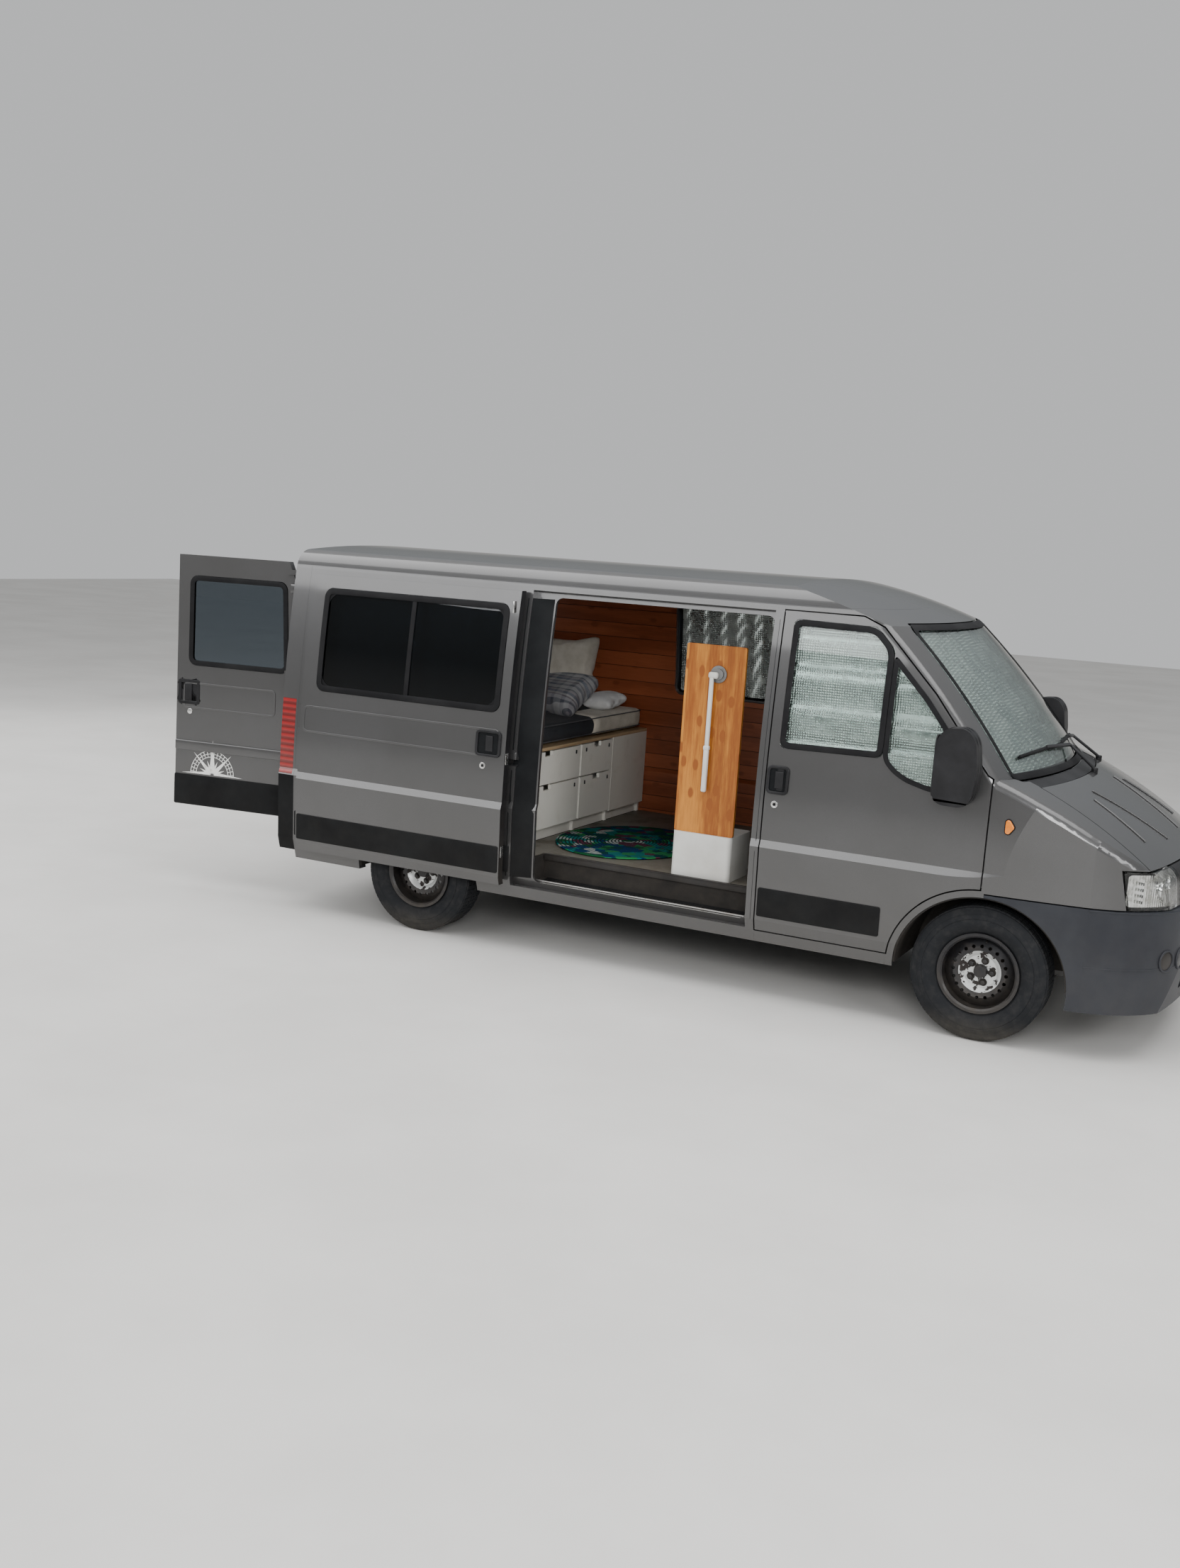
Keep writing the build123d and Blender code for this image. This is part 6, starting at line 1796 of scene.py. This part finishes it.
# %% Pillows
PILLOWS = [
    # name, length, width, middle, turn about X and Z in degrees, thickness to start with, cloth
    ("pillow_plaid", 590, 430, (-3060, 205, 1318), (22, 3), 84, "plaid_cotton"),
    ("pillow_cream", 560, 440, (-3256, 762, 1430), (84, 0), 60, "cream_cotton"),
    ("pillow_white", 200, 280, (-2805, 545, 1270), (6, 0), 50, "white_cotton"),
]
for name, length, width, middle, turns, depth, cloth_name in PILLOWS:
    pillow = bar(name, (-length / 2, length / 2), (-width / 2, width / 2), (-depth / 2, depth / 2),
                 depth * 0.45, 4)
    carried(pillow, Matrix.Translation(-spot(0, 0, 0)))
    with editing(pillow):
        bpy.ops.mesh.select_all(action="SELECT")
        bpy.ops.mesh.subdivide(number_cuts=3)
    blown_up(pillow, 19, 5.0, 36)
    turn = Matrix.Rotation(math.radians(turns[1]), 4, "Z") @ Matrix.Rotation(math.radians(turns[0]), 4, "X")
    carried(pillow, Matrix.Translation(spot(*middle)) @ turn)
    settle(pillow, cloth_name, smooth=70)
    print(" ", name, [round(v, 3) for v in pillow.dimensions])
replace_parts(bpy.data.objects["pillow_plaid"], "pillows")

# %% Cab seats
SEAT_Y = 470
SEAT_PARTS = [
    # name, side outline, half width, voxel, cap
    ("cushion", [(-972, 742), (-492, 748), (-470, 800), (-510, 828), (-950, 812)], 222, 20, 14),
    ("back", [(-945, 832), (-876, 840), (-1012, 1396), (-1052, 1414), (-1080, 1388)], 222, 20, 14),
    ("headrest", [(-1036, 1448), (-1026, 1598), (-1068, 1602), (-1084, 1450)], 112, 14, 9),
]
for side, sign in SIDES.items():
    base = bar("seat_box_" + side, (-930, -570), (sign * (SEAT_Y - 195), sign * (SEAT_Y + 195)),
               (573, 716), 12, 3)
    with editing(base):
        choose(base, "faces", lambda face: abs(face.normal.y) > 0.9 or face.normal.x > 0.9)
        bpy.ops.mesh.inset(thickness=0.03, use_individual=True)
        bpy.ops.mesh.inset(thickness=0.006, depth=-0.006, use_individual=True)
    settle(base, "black_plastic")
    for name, outline, half_wide, voxel, cap in SEAT_PARTS:
        pad = plate("seat_%s_%s" % (name, side), outline, "side", sign * SEAT_Y - half_wide, 10)
        thickened(pad, half_wide * 2, (0, 1, 0))
        rounded_off(pad, 14, 3)
        blown_up(pad, voxel, 4.0, cap)
        settle(pad, "seat_fabric", smooth=70)
    stems = [bar("stem", (-1062, -1050), (sign * SEAT_Y + y - 6, sign * SEAT_Y + y + 6), (1400, 1460), 5, 3)
             for y in (-50, 50)]
    settle(joined("headrest_stems_" + side, stems), "bright_metal")
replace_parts(bpy.data.objects["seat_cushion_right"], "cab_seats")
print("seats")

# %% Catches and rug
for column, (low_y, high_y) in {"right": (-852, -47), "left": (-23, 400)}.items():
    for row, high_z in {"lower": 856, "upper": 1055}.items():
        body = "drawer_%s_%s" % (row, column)
        pair = [bar("catch", (-2662, -2654), (y - 6, y + 6), (high_z - 46, high_z - 22), 5, 3)
                for y in (low_y + 55, high_y - 55)]
        settle(joined("catches_" + body, pair), "black_plastic", body)

RUG_CENTRE = (-2245, -165)
RUG_RADII = (405, 520)
tree, shader = finish("rag_rug", (0.1, 0.2, 0.2), 0.95, specular_ior_level=0.04)
where = object_place(tree)
mapping = add_node(tree, "Mapping", vector_type="TEXTURE")
mapping.inputs["Location"].default_value = spot(*RUG_CENTRE, 0)
mapping.inputs["Scale"].default_value = (RUG_RADII[0] / 1000, RUG_RADII[1] / 1000, 1)
feed(tree, where, mapping.inputs["Vector"])
rings = texture(tree, "TexWave", mapping.outputs["Vector"], {"Scale": 6.5, "Distortion": 0.8},
                wave_type="RINGS", rings_direction="Z")
scraps = texture(tree, "TexVoronoi", where, {"Scale": 17, "Randomness": 1.0}, feature="F1")
scrap_ramp = add_node(tree, "ValToRGB")
scrap_ramp.color_ramp.interpolation = "CONSTANT"
RAGS = [
    # place in the ramp, colour
    (0.0, (0.006, 0.055, 0.060)), (0.22, (0.008, 0.20, 0.19)), (0.40, (0.008, 0.04, 0.14)),
    (0.52, (0.03, 0.26, 0.08)), (0.66, (0.012, 0.10, 0.035)), (0.79, (0.40, 0.44, 0.42)),
    (0.87, (0.13, 0.03, 0.06)),
]
fill_ramp(scrap_ramp, RAGS)
hue = coordinates(tree, scraps.outputs["Color"])
feed(tree, hue["X"], scrap_ramp.inputs["Fac"])
feed(tree, mixed(tree, between(tree, rings.outputs["Fac"], 0.15, 0.5), (0.012, 0.035, 0.038),
                 scrap_ramp.outputs["Color"]), shader.inputs["Base Color"])
roughen(tree, shader, number(tree, "ADD", rings.outputs["Fac"], noise(tree, where, 120, 3)), 0.8, 0.006)

RUG_STEPS = 64
oval = [(RUG_CENTRE[0] + RUG_RADII[0] * math.cos(2 * math.pi * i / RUG_STEPS),
         RUG_CENTRE[1] + RUG_RADII[1] * math.sin(2 * math.pi * i / RUG_STEPS)) for i in range(RUG_STEPS)]
rug = sliced(sliced(plate("rug", oval, "plan", 535.5), 0, 60), 1, 60)
crumpled(rug, 2, 5, 0.25)
carried(rug, Matrix.Translation(Vector((0, 0, 0.003))))
thickened(rug, 7, (0, 0, 1), 2.5)
settle(rug, "rag_rug", smooth=60)

# %% Table leg
tube = [bar("tube", (-1569, -1541), (-794, -771), (1004, 1240), 8, 3),
        bar("tube", (-1567, -1543), (-792, -773), (1236, 1620), 8, 3),
        bar("collar", (-1572, -1538), (-796, -770), (1226, 1252), 8, 3),
        bar("knuckle", (-1574, -1520), (-794, -768), (1606, 1640), 11, 4)]
discs = [rounded_off(cylinder("flange", spot(-1526, y, 1629), radius, depth, vertices=48), 2, 3, 50)
         for depth, radius, y in ((6, 46, -764.5), (10, 30, -771))]
settle(joined("leg_flange", discs), "cast_metal")
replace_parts(settle(joined("leg_tube", tube), "white_plastic"), "table_leg")
print("table leg")
